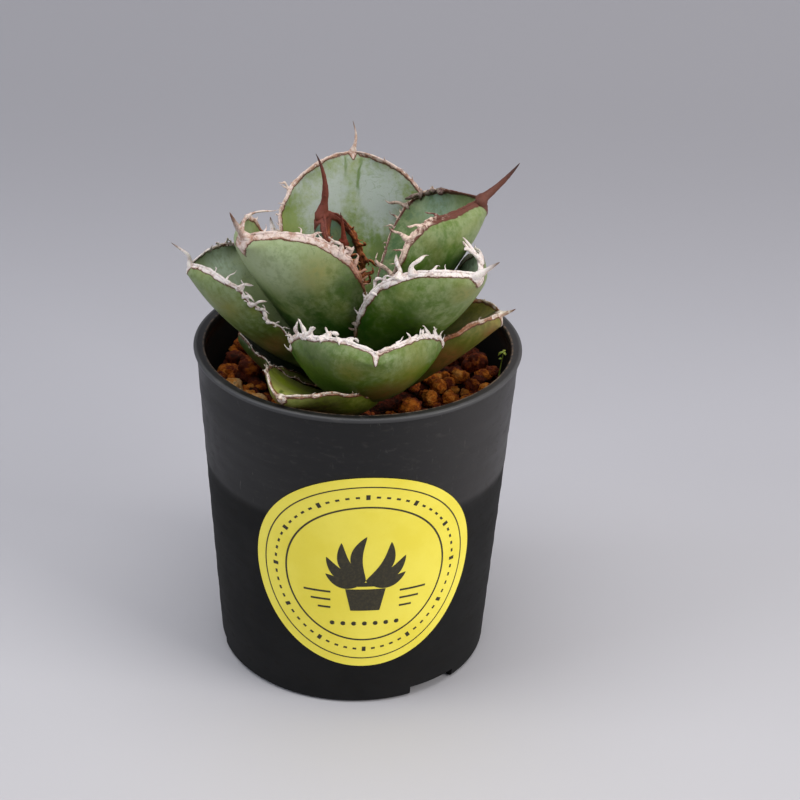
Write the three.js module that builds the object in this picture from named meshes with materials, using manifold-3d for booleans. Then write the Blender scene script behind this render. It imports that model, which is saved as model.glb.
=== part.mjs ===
// Potted agave: a spoon-leaved rosette in coarse grains, standing in a round nursery pot.
// Millimetres and degrees. +Z is up, and the origin is the middle of the pot's underside.
// Azimuths run anticlockwise seen from above, from +X. The sticker faces -Y.

import * as THREE from 'three';
import { mergeVertices } from 'three/addons/utils/BufferGeometryUtils.js';
import Module from 'manifold-3d';

const wasm = await Module();
wasm.setup();

// Driving dimensions
const POT_HEIGHT = 94;
const RIM_RADIUS = 45;
const MOUTH_RADIUS = 42;
const WALL_TOP_RADIUS = 44.3;
const WALL_FOOT_RADIUS = 38.2;
const WALL_THICKNESS = 2;
const SOIL_TOP = 79;
const STICKER_RADIUS = 31.2;
const GAP = 0.3;

const CHANNEL_ANGLES = [307, 67, 187];
const CHANNEL_WIDTH = 15;
const CHANNEL_HEIGHT = 3;
const FLOOR_THICKNESS = 1.6;

const rad = THREE.MathUtils.degToRad;
const { clamp, lerp } = THREE.MathUtils;

// Solids and meshes

function solidFrom(geometry) {
  const bare = geometry.clone();
  bare.deleteAttribute('normal');
  bare.deleteAttribute('uv');
  const merged = mergeVertices(bare, 1e-4);
  const vertProperties = Float32Array.from(merged.attributes.position.array);
  const triVerts = Uint32Array.from(merged.index.array);
  const solid = new wasm.Manifold(new wasm.Mesh({ numProp: 3, vertProperties, triVerts }));
  if (solid.volume() > 0) return solid;
  triVerts.reverse();
  return new wasm.Manifold(new wasm.Mesh({ numProp: 3, vertProperties, triVerts }));
}

function geometryFrom(solid) {
  const mesh = solid.getMesh();
  const geometry = new THREE.BufferGeometry();
  geometry.setAttribute('position', new THREE.BufferAttribute(mesh.vertProperties, 3));
  geometry.setIndex(new THREE.BufferAttribute(mesh.triVerts, 1));
  geometry.computeVertexNormals();
  return geometry;
}

// A closed skin over rings of points, with a single point at each end
function skinFrom(rings, startPoint, endPoint) {
  const count = rings[0].length;
  const points = [...rings.flat(), startPoint, endPoint];
  const start = points.length - 2;
  const end = points.length - 1;
  const last = (rings.length - 1) * count;
  const index = [];
  for (let j = 0; j < count; j += 1) {
    const next = (j + 1) % count;
    index.push(start, j, next);
    index.push(end, last + next, last + j);
    for (let i = 0; i < rings.length - 1; i += 1) {
      const a = i * count + j;
      const b = i * count + next;
      index.push(a, b + count, b);
      index.push(a, a + count, b + count);
    }
  }
  const geometry = new THREE.BufferGeometry().setFromPoints(points);
  geometry.setIndex(index);
  return geometry;
}

// Pieces cut away from a solid, taking only those whose boxes meet it
function cutBy(solid, cutters) {
  let rest = solid;
  for (const cutter of cutters) {
    const a = rest.boundingBox();
    const b = cutter.boundingBox();
    const apart = [0, 1, 2].some((k) => a.min[k] > b.max[k] || b.min[k] > a.max[k]);
    if (!apart) rest = rest.subtract(cutter);
  }
  return largestBody(rest);
}

function largestBody(solid) {
  const bodies = solid.decompose();
  return bodies.reduce((best, body) => (body.volume() > best.volume() ? body : best));
}

// Steady scatter between 0 and 1 for each number given
function scatter(seed) {
  const wave = Math.sin(seed * 127.1 + 311.7) * 43758.5453;
  return wave - Math.floor(wave);
}

// Leaves. Each is a blade that rises along its midrib from the stem, curled up at both
// margins like a spoon, thick in the middle, with toothed thin margins and an end spine.

const LEAF_ROWS = 13;
const LEAF_COLUMNS = 6;
const TOOTH = 1.2;

const LEAF_DEFAULTS = {
  startRadius: 5,
  turn: 0,
  roll: 0,
  droop: 0,
  baseWidth: 9,
  widestAt: 0.6,
  bluntness: 0.6,
  baseCurl: 45,
  baseThickness: 7,
  endThickness: 3,
  spine: 4,
  spineRadius: 1.2,
  spineRise: 10,
  spineTurn: 0,
  bendRise: 0,
  bendTurn: 0,
  sway: 0,
};

const LEAVES = {
  leaf_right_young: {
    azimuth: 7, turn: 3, height: 96, rise: 48, endRise: 55, droop: -32, length: 48,
    width: 29, bluntness: 0.75, curl: 72, roll: 20, endThickness: 2,
    spine: 14, spineRadius: 1.8, spineRise: -42, spineTurn: 4,
  },
  leaf_centre_young: {
    azimuth: 162, turn: -3, startRadius: 4, height: 94, rise: 78, endRise: 80, length: 37,
    width: 11, widestAt: 0.5, curl: 75, roll: 5, baseWidth: 6, baseThickness: 4, endThickness: 2,
    spine: 18, spineRadius: 2.2, spineRise: 6, spineTurn: 10, sway: -14,
  },
  leaf_bud: {
    azimuth: 201, startRadius: 2, height: 97, rise: 83, endRise: 86, length: 28,
    width: 3.4, widestAt: 0.3, bluntness: 1, baseWidth: 3, baseCurl: 80, curl: 60,
    baseThickness: 3, endThickness: 1.5, spine: 8, spineRadius: 0.8, spineRise: 0, bendRise: -8,
  },
  leaf_rear_tall: {
    azimuth: 95.4, turn: -4, startRadius: 10, height: 88.5, rise: 51, endRise: 65.5, length: 54,
    width: 23.3, curl: 39, roll: -7.7, spine: 9, spineRise: 11.5, spineTurn: -90, bendTurn: 180,
  },
  leaf_right_upper: {
    azimuth: 319.5, turn: 2, height: 91, rise: 35, endRise: 56, length: 49.5,
    width: 23, widestAt: 0.65, bluntness: 0.68, curl: 75, roll: 6.5, endThickness: 2,
    spine: 7, spineRise: -16, spineTurn: 20,
  },
  leaf_left_upper: {
    azimuth: 216.4, turn: -6.6, height: 90.4, rise: 50.3, endRise: 58.3, length: 52.6,
    width: 24.3, widestAt: 0.66, bluntness: 0.58, curl: 74, roll: -13,
    spine: 8.5, spineRadius: 1.5, spineRise: -3, spineTurn: -2, bendRise: 11, bendTurn: 11,
  },
  leaf_rear_left: {
    azimuth: 130, startRadius: 8, height: 86, rise: 38, endRise: 46, length: 40,
    width: 16, curl: 60, roll: -8, spine: 5, bendRise: 20,
  },
  leaf_front_middle: {
    azimuth: 272, turn: 11, height: 86, rise: 6, endRise: 65, droop: 5, length: 45,
    width: 23, widestAt: 0.69, curl: 60, roll: 5,
    spine: 4, spineRise: -40, spineTurn: -4, bendRise: -50,
  },
  leaf_rear_right: {
    azimuth: 60, startRadius: 6, height: 84, rise: 28, endRise: 46, length: 42,
    width: 16, curl: 60, spine: 6, bendRise: -20, bendTurn: 30,
  },
  leaf_left_lower: {
    azimuth: 187.3, turn: -7.9, height: 88.5, rise: 17, endRise: 53.7, length: 50.4,
    width: 19.2, widestAt: 0.79, bluntness: 0.66, curl: 71, roll: -3.2, endThickness: 2,
    spine: 8.5, spineRise: 34, spineTurn: 22.5, bendRise: -85, bendTurn: -40,
  },
  leaf_right_lower: {
    azimuth: 351, turn: 4, height: 82, rise: 29, endRise: 42, droop: 6, length: 41,
    width: 14.5, curl: 51, roll: 6, spine: 4.5, spineRise: -19, spineTurn: -8, bendRise: 20,
  },
  leaf_rear_lowest: {
    azimuth: 110, startRadius: 6, height: 80, rise: 20, endRise: 32, length: 36,
    width: 15, curl: 45, baseThickness: 5, spine: 3,
  },
  leaf_front_lowest: {
    azimuth: 249, turn: -14, height: 79, rise: 16, endRise: 38, droop: 25, length: 42,
    width: 17, widestAt: 0.46, curl: 41, baseThickness: 5, spine: 1.5, spineRadius: 0.8, spineRise: 0,
  },
  leaf_left_lowest: {
    azimuth: 182, turn: -6, height: 79.5, rise: 9, endRise: 52, length: 32.5,
    width: 13.8, curl: 38, roll: -2, baseThickness: 3, endThickness: 1.5, spine: 1, spineRadius: 0.8,
  },
};

function heading(azimuth, elevation) {
  const a = rad(azimuth);
  const e = rad(elevation);
  return new THREE.Vector3(Math.cos(e) * Math.cos(a), Math.cos(e) * Math.sin(a), Math.sin(e));
}

// Frames along the midrib: point, direction, sideways and inward
function midrib(leaf) {
  const fine = 32;
  const steps = (LEAF_ROWS - 1) * fine;
  const ahead = (t) => {
    const droop = leaf.droop * clamp((t - 0.7) / 0.3, 0, 1) ** 2;
    return heading(leaf.azimuth + leaf.turn * t, lerp(leaf.rise, leaf.endRise, t) - droop);
  };
  const point = heading(leaf.azimuth, 0).multiplyScalar(leaf.startRadius);
  point.z = leaf.height;
  const frames = [];
  for (let step = 0; step <= steps; step += 1) {
    const t = step / steps;
    if (step > 0) {
      const middle = ahead((step - 0.5) / steps);
      point.addScaledVector(middle, leaf.length / steps);
    }
    if (step % fine === 0) {
      const direction = ahead(t);
      const side = heading(leaf.azimuth + leaf.turn * t - 90, 0);
      side.applyAxisAngle(direction, -rad(leaf.roll) * t ** 0.7);
      const inward = new THREE.Vector3().crossVectors(side, direction);
      frames.push({ t, point: point.clone(), direction, side, inward });
    }
  }
  return frames;
}

function halfWidth(leaf, t) {
  if (t < leaf.widestAt) {
    return lerp(leaf.baseWidth, leaf.width, Math.sin((t / leaf.widestAt) * Math.PI / 2) ** 1.3);
  }
  const past = (t - leaf.widestAt) / (1 - leaf.widestAt);
  return Math.max(leaf.width * Math.max(1 - past ** 2, 0) ** leaf.bluntness, 0.8);
}

// One ring of the blade: the inner face from margin to margin, then back along the outer face
function leafRing(leaf, frame, row, grow) {
  const half = halfWidth(leaf, frame.t);
  const curl = rad(lerp(leaf.baseCurl, leaf.curl, frame.t));
  const toothed = row % 2 === 1 && row > 2 && row < LEAF_ROWS - 1;
  const slim = Math.min(1, half / (0.35 * leaf.width));
  const body = lerp(leaf.baseThickness, leaf.endThickness, frame.t) * slim;
  const inner = [];
  const outer = [];
  for (let j = 0; j <= LEAF_COLUMNS; j += 1) {
    const v = (2 * j) / LEAF_COLUMNS - 1;
    const angle = v * curl;
    const thickness = body * (1 - v * v) + 0.6;
    const edge = Math.abs(v) === 1;
    const reach = edge ? Math.sign(v) * (grow + (toothed ? TOOTH : 0)) : 0;
    const across = (half * Math.sin(angle)) / curl + reach * Math.cos(angle);
    const up = (half * (1 - Math.cos(angle))) / curl + reach * Math.sin(angle);
    const place = (lift) => frame.point.clone()
      .addScaledVector(frame.side, across - lift * Math.sin(angle))
      .addScaledVector(frame.inward, up + lift * Math.cos(angle));
    inner.push(place(0.25 * thickness + grow));
    outer.unshift(place(-0.75 * thickness - grow));
  }
  return [...inner, ...outer];
}

// Rings along the end spine, which bends and thins on its way, and the point it ends in
function spineRings(leaf, end, grow) {
  const steps = 8;
  const centre = end.point.clone();
  const rings = [];
  for (let step = 1; step <= steps; step += 1) {
    const share = (step - 0.5) / steps;
    const azimuth = leaf.azimuth + leaf.turn + leaf.spineTurn + leaf.bendTurn * share;
    const sway = leaf.sway * Math.sin(share * Math.PI);
    const elevation = leaf.endRise - leaf.droop + leaf.spineRise + leaf.bendRise * share + sway;
    const ahead = heading(azimuth, elevation);
    centre.addScaledVector(ahead, leaf.spine / steps);
    if (step % 2 === 0 && step < steps) {
      const radius = leaf.spineRadius * (1 - step / steps) + grow;
      rings.push(spineRing(centre, ahead, end.side, radius));
    }
  }
  return { rings, tip: centre };
}

function spineRing(centre, ahead, side, radius) {
  const over = new THREE.Vector3().crossVectors(side, ahead).normalize();
  const across = new THREE.Vector3().crossVectors(ahead, over);
  const points = 2 * (LEAF_COLUMNS + 1);
  return Array.from({ length: points }, (_, k) => {
    const turn = Math.PI * (1 - (2 * k + 1) / points);
    return centre.clone()
      .addScaledVector(across, radius * Math.cos(turn))
      .addScaledVector(over, radius * Math.sin(turn));
  });
}

function leafSolid(spec, grow = 0) {
  const leaf = { ...LEAF_DEFAULTS, ...spec };
  const frames = midrib(leaf);
  const rings = frames.map((frame, row) => leafRing(leaf, frame, row, grow));
  const first = frames[0];
  const spine = spineRings(leaf, frames[LEAF_ROWS - 1], grow);
  const root = first.point.clone().addScaledVector(first.direction, -0.5 - grow);
  return solidFrom(skinFrom([...rings, ...spine.rings], root, spine.tip));
}

// Pot: a thin tapered wall with a narrow lip, a flat foot, and three drain channels that
// run out under the wall. Each channel is roofed inside the pot and has a drain slot.

function lathe(profile, segments) {
  const points = profile.map(([r, z]) => new THREE.Vector2(r, z));
  const geometry = new THREE.LatheGeometry(points, segments);
  geometry.rotateX(Math.PI / 2);
  return solidFrom(geometry);
}

function box(lengthX, lengthY, lengthZ, x, y, z, azimuth) {
  const geometry = new THREE.BoxGeometry(lengthX, lengthY, lengthZ);
  geometry.translate(x, y, z);
  geometry.rotateZ(rad(azimuth));
  return solidFrom(geometry);
}

function wallRadius(z) {
  return lerp(WALL_FOOT_RADIUS, WALL_TOP_RADIUS, z / POT_HEIGHT);
}

function potShell() {
  const lipFoot = POT_HEIGHT - 1.4;
  return lathe([
    [0, 0],
    [wallRadius(0) - 1.5, 0],
    [wallRadius(0) - 0.4, 0.5],
    [wallRadius(2), 2],
    [wallRadius(30), 30],
    [wallRadius(60), 60],
    [wallRadius(lipFoot), lipFoot],
    [RIM_RADIUS - 0.1, lipFoot + 0.3],
    [RIM_RADIUS, POT_HEIGHT - 0.6],
    [RIM_RADIUS - 0.6, POT_HEIGHT],
    [MOUTH_RADIUS + 0.4, POT_HEIGHT],
    [MOUTH_RADIUS, POT_HEIGHT - 0.4],
    [MOUTH_RADIUS, lipFoot - 1],
    [wallRadius(60) - WALL_THICKNESS, 60],
    [wallRadius(4) - WALL_THICKNESS, 4],
    [wallRadius(2) - WALL_THICKNESS - 2, FLOOR_THICKNESS],
    [0, FLOOR_THICKNESS],
  ], 48);
}

function pot() {
  const wall = potShell();
  const inside = lathe([
    [0, -1],
    [wallRadius(0) - 1, -1],
    [wallRadius(12) - 1, 12],
    [0, 12],
  ], 48);
  let shell = wall;
  for (const angle of CHANNEL_ANGLES) {
    const roofTop = CHANNEL_HEIGHT + FLOOR_THICKNESS;
    const roof = box(30, CHANNEL_WIDTH + 2 * FLOOR_THICKNESS, roofTop, 29, 0, roofTop / 2, angle);
    const channel = box(34, CHANNEL_WIDTH, 2 * CHANNEL_HEIGHT, 32.6, 0, 0, angle);
    const slot = box(12, 5, 12, 25, 0, roofTop, angle);
    shell = shell.add(roof.intersect(inside)).subtract(channel).subtract(slot);
  }
  return shell;
}

// Sticker: a thin round label that follows the wall of the pot

const STICKER_AZIMUTH = 274.7;
const STICKER_HEIGHT = 44.6;
const STICKER_THICKNESS = 0.25;

function stickerPoint(across, up, lift) {
  const z = STICKER_HEIGHT + up;
  const azimuth = rad(STICKER_AZIMUTH) + across / wallRadius(STICKER_HEIGHT);
  const radius = wallRadius(z) + GAP + lift;
  return new THREE.Vector3(radius * Math.cos(azimuth), radius * Math.sin(azimuth), z);
}

function sticker() {
  const sectors = 32;
  const loop = (share, lift) => Array.from({ length: sectors }, (_, i) => {
    const turn = (i / sectors) * 2 * Math.PI;
    const reach = STICKER_RADIUS * share;
    return stickerPoint(reach * Math.cos(turn), reach * Math.sin(turn), lift);
  });
  const shares = [0.2, 0.4, 0.6, 0.8, 1];
  const back = shares.map((share) => loop(share, 0));
  const front = shares.toReversed().map((share) => loop(share, STICKER_THICKNESS));
  const rings = [...back, ...front];
  return solidFrom(skinFrom(rings, stickerPoint(0, 0, 0), stickerPoint(0, 0, STICKER_THICKNESS)));
}

// Stem and roots: a short stem under the leaves, with roots that spread down into the soil

const ROOT_AZIMUTHS = [30, 102, 174, 246, 318];

function taper(points, startRadius, endRadius, sides) {
  const curve = new THREE.CatmullRomCurve3(points);
  const rows = 4;
  const rings = [];
  for (let i = 0; i <= rows; i += 1) {
    const along = curve.getTangentAt(i / rows);
    const across = new THREE.Vector3(-along.y, along.x, 0).normalize();
    const over = new THREE.Vector3().crossVectors(along, across);
    const radius = lerp(startRadius, endRadius, i / rows);
    rings.push(Array.from({ length: sides }, (_, k) => {
      const turn = (k / sides) * 2 * Math.PI;
      return curve.getPointAt(i / rows)
        .addScaledVector(across, radius * Math.cos(turn))
        .addScaledVector(over, radius * Math.sin(turn));
    }));
  }
  return solidFrom(skinFrom(rings, curve.getPointAt(0), curve.getPointAt(1)));
}

function stemAndRoots(grow = 0) {
  let plant = lathe([
    [0, 62 - grow],
    [4 + grow, 63 - grow],
    [8 + grow, 76],
    [8 + grow, 86],
    [5 + grow, 93 + grow],
    [3 + grow, 97 + grow],
    [0, 98 + grow],
  ], 16);
  for (const azimuth of ROOT_AZIMUTHS) {
    const depth = 30 + 14 * scatter(azimuth);
    const points = [[2, 67], [11, 61], [21, 48], [28, depth]].map(([reach, z], k) => {
      const point = heading(azimuth + 6 * k, 0).multiplyScalar(reach);
      point.z = z;
      return point;
    });
    plant = plant.add(taper(points, 1.8 + grow, 0.7 + grow, 5));
  }
  return plant;
}

// Soil: the packed grains that fill the pot, with a lumpy top, hollowed for roots and leaves

function lumps(x, y) {
  return 0.5 * Math.sin(x * 0.21 + 1) * Math.cos(y * 0.18 - 0.5);
}

function soil(cutters) {
  const inner = (z) => wallRadius(z) - WALL_THICKNESS - GAP;
  const foot = CHANNEL_HEIGHT + FLOOR_THICKNESS + GAP;
  const sideTop = SOIL_TOP - 1.5;
  const profile = [[0, foot], [inner(foot) - 1, foot], [inner(foot + 4), foot + 4]];
  profile.push([inner(60) - 0.1, 60], [inner(sideTop) - 0.4, sideTop]);
  for (const radius of [35, 28, 20, 12, 0]) profile.push([radius, SOIL_TOP]);
  const points = profile.map(([r, z]) => new THREE.Vector2(r, z));
  const geometry = new THREE.LatheGeometry(points, 32);
  geometry.rotateX(Math.PI / 2);
  const place = geometry.attributes.position;
  for (let i = 0; i < place.count; i += 1) {
    const top = place.getZ(i) > SOIL_TOP - 0.1;
    if (top) place.setZ(i, SOIL_TOP + lumps(place.getX(i), place.getY(i)));
  }
  return cutBy(solidFrom(geometry), cutters);
}

// Grains: loose baked-clay grains that lie on the soil, given as azimuth, distance from
// the middle, radius and how flat they are

const SEEN_GRAINS = [
  { azimuth: 153, reach: 38.2, radius: 2.6, flat: 0.8 },
  { azimuth: 145, reach: 36, radius: 1.8, flat: 0.9 },
  { azimuth: 160, reach: 34, radius: 2.1, flat: 0.8 },
  { azimuth: 169, reach: 37.5, radius: 2.6, flat: 0.5 },
  { azimuth: 173, reach: 30, radius: 3.7, flat: 0.9 },
  { azimuth: 185, reach: 36.5, radius: 2.8, flat: 0.6 },
  { azimuth: 198, reach: 31, radius: 2.5, flat: 0.7 },
  { azimuth: 7, reach: 28.5, radius: 2.4, flat: 0.9 },
  { azimuth: 358, reach: 31.8, radius: 2.3, flat: 0.8 },
  { azimuth: 355, reach: 22.5, radius: 2.2, flat: 0.9 },
  { azimuth: 337, reach: 21.5, radius: 2.1, flat: 0.9 },
  { azimuth: 339, reach: 27, radius: 2.2, flat: 0.9 },
  { azimuth: 349, reach: 26, radius: 1.4, flat: 0.9 },
  { azimuth: 312, reach: 21, radius: 3.3, flat: 0.8 },
  { azimuth: 19, reach: 35.5, radius: 3.3, flat: 0.9 },
  { azimuth: 30, reach: 38, radius: 2.5, flat: 0.8 },
  { azimuth: 358, reach: 37, radius: 1.8, flat: 0.8 },
  { azimuth: 12, reach: 38.7, radius: 2, flat: 0.8 },
  { azimuth: 345, reach: 32, radius: 2, flat: 0.7 },
];
const HIDDEN_GRAIN_AZIMUTHS = [
  45, 58, 70, 82, 94, 107, 120, 133, 212, 226, 244, 262, 280, 296, 311, 325,
];

function hiddenGrain(azimuth) {
  return {
    azimuth,
    reach: 36 - 3 * scatter(azimuth),
    radius: 2.2 + 0.9 * scatter(azimuth + 0.5),
    flat: 0.75,
  };
}

function grain(spec, seed, cutters) {
  const geometry = mergeVertices(new THREE.DodecahedronGeometry(spec.radius, 0)
    .deleteAttribute('normal').deleteAttribute('uv'), 1e-4);
  const place = geometry.attributes.position;
  for (let i = 0; i < place.count; i += 1) {
    const swell = 0.88 + 0.2 * scatter(seed * 31 + i);
    place.setXYZ(i, place.getX(i) * swell, place.getY(i) * swell, place.getZ(i) * swell * spec.flat);
  }
  geometry.rotateZ(seed * 1.7);
  const centre = heading(spec.azimuth, 0).multiplyScalar(spec.reach);
  geometry.computeBoundingBox();
  const rest = SOIL_TOP + lumps(centre.x, centre.y) + 0.5 - geometry.boundingBox.min.z;
  geometry.translate(centre.x, centre.y, rest);
  return cutBy(solidFrom(geometry), cutters);
}

// Seedling: a tiny sprout that came up beside the wall, with three small leaves

function seedling() {
  const base = heading(3, 0).multiplyScalar(39.3);
  const foot = SOIL_TOP - 0.6;
  const stalk = [[0, foot], [0.3, foot + 6], [1.1, foot + 12]].map(([lean, z]) => (
    new THREE.Vector3(base.x + lean, base.y, z)
  ));
  let plant = taper(stalk, 0.5, 0.35, 5);
  for (const [azimuth, rise, length] of [[200, 10, 1.6], [80, 25, 1.2], [290, 30, 1.0]]) {
    const blade = new THREE.SphereGeometry(1, 8, 5);
    blade.scale(length, 0.45 * length, 0.3);
    blade.translate(0.8 * length, 0, 0);
    blade.rotateY(-rad(rise));
    blade.rotateZ(rad(azimuth));
    blade.translate(stalk[2].x, stalk[2].y, stalk[2].z - 0.3);
    plant = plant.add(solidFrom(blade));
  }
  return plant;
}

// Materials, each a short name, colour and roughness

const finish = (color, roughness) => new THREE.MeshStandardMaterial({ color, roughness, metalness: 0 });
const MATERIALS = {
  plastic: finish(0x2b2b2e, 0.55),
  label: finish(0xe6d752, 0.45),
  soil: finish(0x3a2418, 0.95),
  grain: finish(0xa0612c, 0.95),
  stem: finish(0xc9b98f, 0.8),
  leaf: finish(0x6f9468, 0.5),
  sprout: finish(0x9fae3c, 0.5),
};

const agave = new THREE.Group();

function place(name, solid, material) {
  const mesh = new THREE.Mesh(geometryFrom(solid), MATERIALS[material]);
  mesh.name = name;
  agave.add(mesh);
}

// Assembly: each leaf makes room for the younger leaves inside it and for the stem

place('pot', pot(), 'plastic');
place('sticker', sticker(), 'label');
place('stem_and_roots', stemAndRoots(), 'stem');

const roots = stemAndRoots(GAP);
const makeRoom = [roots];
for (const [name, spec] of Object.entries(LEAVES)) {
  place(name, cutBy(leafSolid(spec), makeRoom), 'leaf');
  makeRoom.push(leafSolid(spec, GAP));
}

place('soil', soil(makeRoom), 'soil');
place('seedling', seedling(), 'sprout');

const grains = [...SEEN_GRAINS, ...HIDDEN_GRAIN_AZIMUTHS.map(hiddenGrain)];
grains.forEach((spec, i) => {
  const number = String(i + 1).padStart(2, '0');
  place(`grain_${number}`, grain(spec, i + 1, makeRoom), 'grain');
});

export default agave;
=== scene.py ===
# Potted agave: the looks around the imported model, and the studio it stands in.
# Shapes are worked out in millimetres and turned into metres when a mesh is made. Azimuths
# run anticlockwise seen from above, from +X. The sticker and the camera are on the -Y side.

import math
import random
from dataclasses import dataclass
from functools import reduce

import bpy
import numpy as np
from mathutils import Matrix, Vector, noise


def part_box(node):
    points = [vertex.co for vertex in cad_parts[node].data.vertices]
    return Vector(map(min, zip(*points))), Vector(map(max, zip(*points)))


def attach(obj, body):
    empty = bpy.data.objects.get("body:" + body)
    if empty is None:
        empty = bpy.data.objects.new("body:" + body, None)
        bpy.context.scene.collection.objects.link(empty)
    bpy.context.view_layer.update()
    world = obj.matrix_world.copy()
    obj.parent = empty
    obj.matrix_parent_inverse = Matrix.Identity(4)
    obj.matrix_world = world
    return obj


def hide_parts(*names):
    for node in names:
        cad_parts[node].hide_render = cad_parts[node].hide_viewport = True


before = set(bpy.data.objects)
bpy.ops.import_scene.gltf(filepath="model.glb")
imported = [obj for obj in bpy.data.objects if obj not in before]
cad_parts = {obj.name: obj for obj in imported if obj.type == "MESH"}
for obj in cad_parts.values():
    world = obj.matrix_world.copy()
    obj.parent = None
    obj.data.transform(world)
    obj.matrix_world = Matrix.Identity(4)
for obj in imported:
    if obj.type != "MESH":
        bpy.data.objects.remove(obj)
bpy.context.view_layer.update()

MM = 0.001

# Driving dimensions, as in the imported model
POT_HEIGHT = 94
RIM_RADIUS = 45
MOUTH_RADIUS = 42
WALL_TOP_RADIUS = 44.3
WALL_FOOT_RADIUS = 38.2
WALL_THICKNESS = 2
FLOOR_THICKNESS = 1.6
CHANNEL_ANGLES = (307, 67, 187)
CHANNEL_WIDTH = 15
CHANNEL_HEIGHT = 3
CHANNEL_START = 14
SLOT_SIZE = (12, 5, 12)
SLOT_REACH = 25
SOIL_TOP = 79
STICKER_RADIUS = 31.2
STICKER_AZIMUTH = 274.7
STICKER_HEIGHT = 44.6


# Small helpers for numbers, directions and noise

def mix(a, b, share):
    return a + (b - a) * share


def smooth(low, high, value):
    share = np.clip((value - low) / (high - low), 0, 1)
    return share * share * (3 - 2 * share)


def unit(vectors):
    return vectors / np.linalg.norm(vectors, axis=-1, keepdims=True)


def heading(azimuth, elevation):
    a = np.radians(azimuth)
    e = np.radians(elevation)
    return np.stack([np.cos(e) * np.cos(a), np.cos(e) * np.sin(a), np.sin(e) + 0 * a], axis=-1)


def bumps(points, size, seed, octaves=3):
    """Smooth noise from about -1 to 1, with bumps about `size` millimetres across"""
    shift = Vector((seed * 7.3, seed * 3.1, seed * 5.7))
    flat = np.asarray(points, float).reshape(-1, 3) / size
    values = [noise.fractal(Vector(p) + shift, 1.0, 2.0, octaves) for p in flat]
    return np.array(values).reshape(np.shape(points)[:-1])


# Meshes: a shape gathers the parts of one piece, with a few values kept at each point

VALUES = ("margin", "share", "inner", "tip", "tone")


class Shape:
    """`slot` is a face's place in the list of materials that `piece` is given"""
    def __init__(self):
        self.points = []
        self.faces = []
        self.slots = []
        self.values = {name: [] for name in VALUES}
        self.uv = []
        self.count = 0

    def add(self, points, faces, slot=0, uv=None, **values):
        points = np.asarray(points, float).reshape(-1, 3)
        self.points.append(points)
        self.faces += [tuple(int(i) + self.count for i in face) for face in faces]
        self.slots += [slot] * len(faces)
        self.uv.append(np.zeros((len(points), 2)) if uv is None else uv.reshape(-1, 2))
        for name in VALUES:
            self.values[name].append(np.broadcast_to(values.get(name, 0.0), len(points)))
        self.count += len(points)

    def piece(self, name, materials, sharp=None):
        mesh = bpy.data.meshes.new(name)
        mesh.from_pydata((np.vstack(self.points) * MM).tolist(), [], self.faces)
        mesh.polygons.foreach_set("use_smooth", [True] * len(self.faces))
        mesh.polygons.foreach_set("material_index", self.slots)
        for value, parts in self.values.items():
            data = np.concatenate(parts).astype(np.float32)
            if np.ptp(data) > 0 or data[0] != 0:
                mesh.attributes.new(value, "FLOAT", "POINT").data.foreach_set("value", data)
        corners = np.empty(len(mesh.loops), np.int32)
        mesh.loops.foreach_get("vertex_index", corners)
        layer = mesh.uv_layers.new(name="along")
        layer.data.foreach_set("uv", np.vstack(self.uv)[corners].astype(np.float32).ravel())
        for material in materials:
            mesh.materials.append(material)
        if sharp is not None:
            mesh.set_sharp_from_angle(angle=math.radians(sharp))
        mesh.validate()
        mesh.update()
        made = bpy.data.objects.new(name, mesh)
        bpy.context.scene.collection.objects.link(made)
        return made


def around(count):
    """Azimuths of `count` even steps round a circle, in radians"""
    return np.arange(count) * 2 * np.pi / count


def level(radius, azimuth, z):
    """Points at one radius and height, or at as many as there are azimuths"""
    return np.stack([radius * np.cos(azimuth), radius * np.sin(azimuth), z + 0 * azimuth], axis=-1)


def closed(rings, first, last):
    """Points and faces of a skin over a row of closed rings, with a fan to a point at each end"""
    rings = np.asarray(rings)
    count = rings.shape[1]
    cap = len(rings) * count
    end = cap - count
    sides = [(j, (j + 1) % count) for j in range(count)]
    faces = []
    for a in range(0, end, count):
        faces += [(a + j, a + k, a + count + k, a + count + j) for j, k in sides]
    for j, k in sides:
        faces += [(k, j, cap), (end + j, end + k, cap + 1)]
    return np.vstack([rings.reshape(-1, 3), first, last]), faces


def add_tube(shape, path, widths, depths, across, sides=8, **values):
    """A closed tapered tube along a path. Its section is an ellipse, `widths` along `across`"""
    path = np.asarray(path, float)
    ahead = unit(np.gradient(path, axis=0))
    across = np.broadcast_to(across, path.shape)
    across = unit(across - ahead * np.sum(ahead * across, axis=1, keepdims=True))
    over = np.cross(ahead, across)
    turn = around(sides)
    rings = (path[:, None]
             + across[:, None] * (np.cos(turn)[None] * widths[:, None])[..., None]
             + over[:, None] * (np.sin(turn)[None] * depths[:, None])[..., None])
    spread = {}
    for name, value in values.items():
        value = np.broadcast_to(value, len(path))
        spread[name] = np.concatenate([np.repeat(value, sides), value[:1], value[-1:]])
    shape.add(*closed(rings, path[0], path[-1]), **spread)


# Materials: short names for the shader nodes of one material

def colour(red, green, blue):
    """A colour given as 0 to 255, as light values"""
    def light(value):
        value = value / 255
        return value / 12.92 if value <= 0.04045 else ((value + 0.055) / 1.055) ** 2.4
    return (light(red), light(green), light(blue), 1.0)


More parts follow.
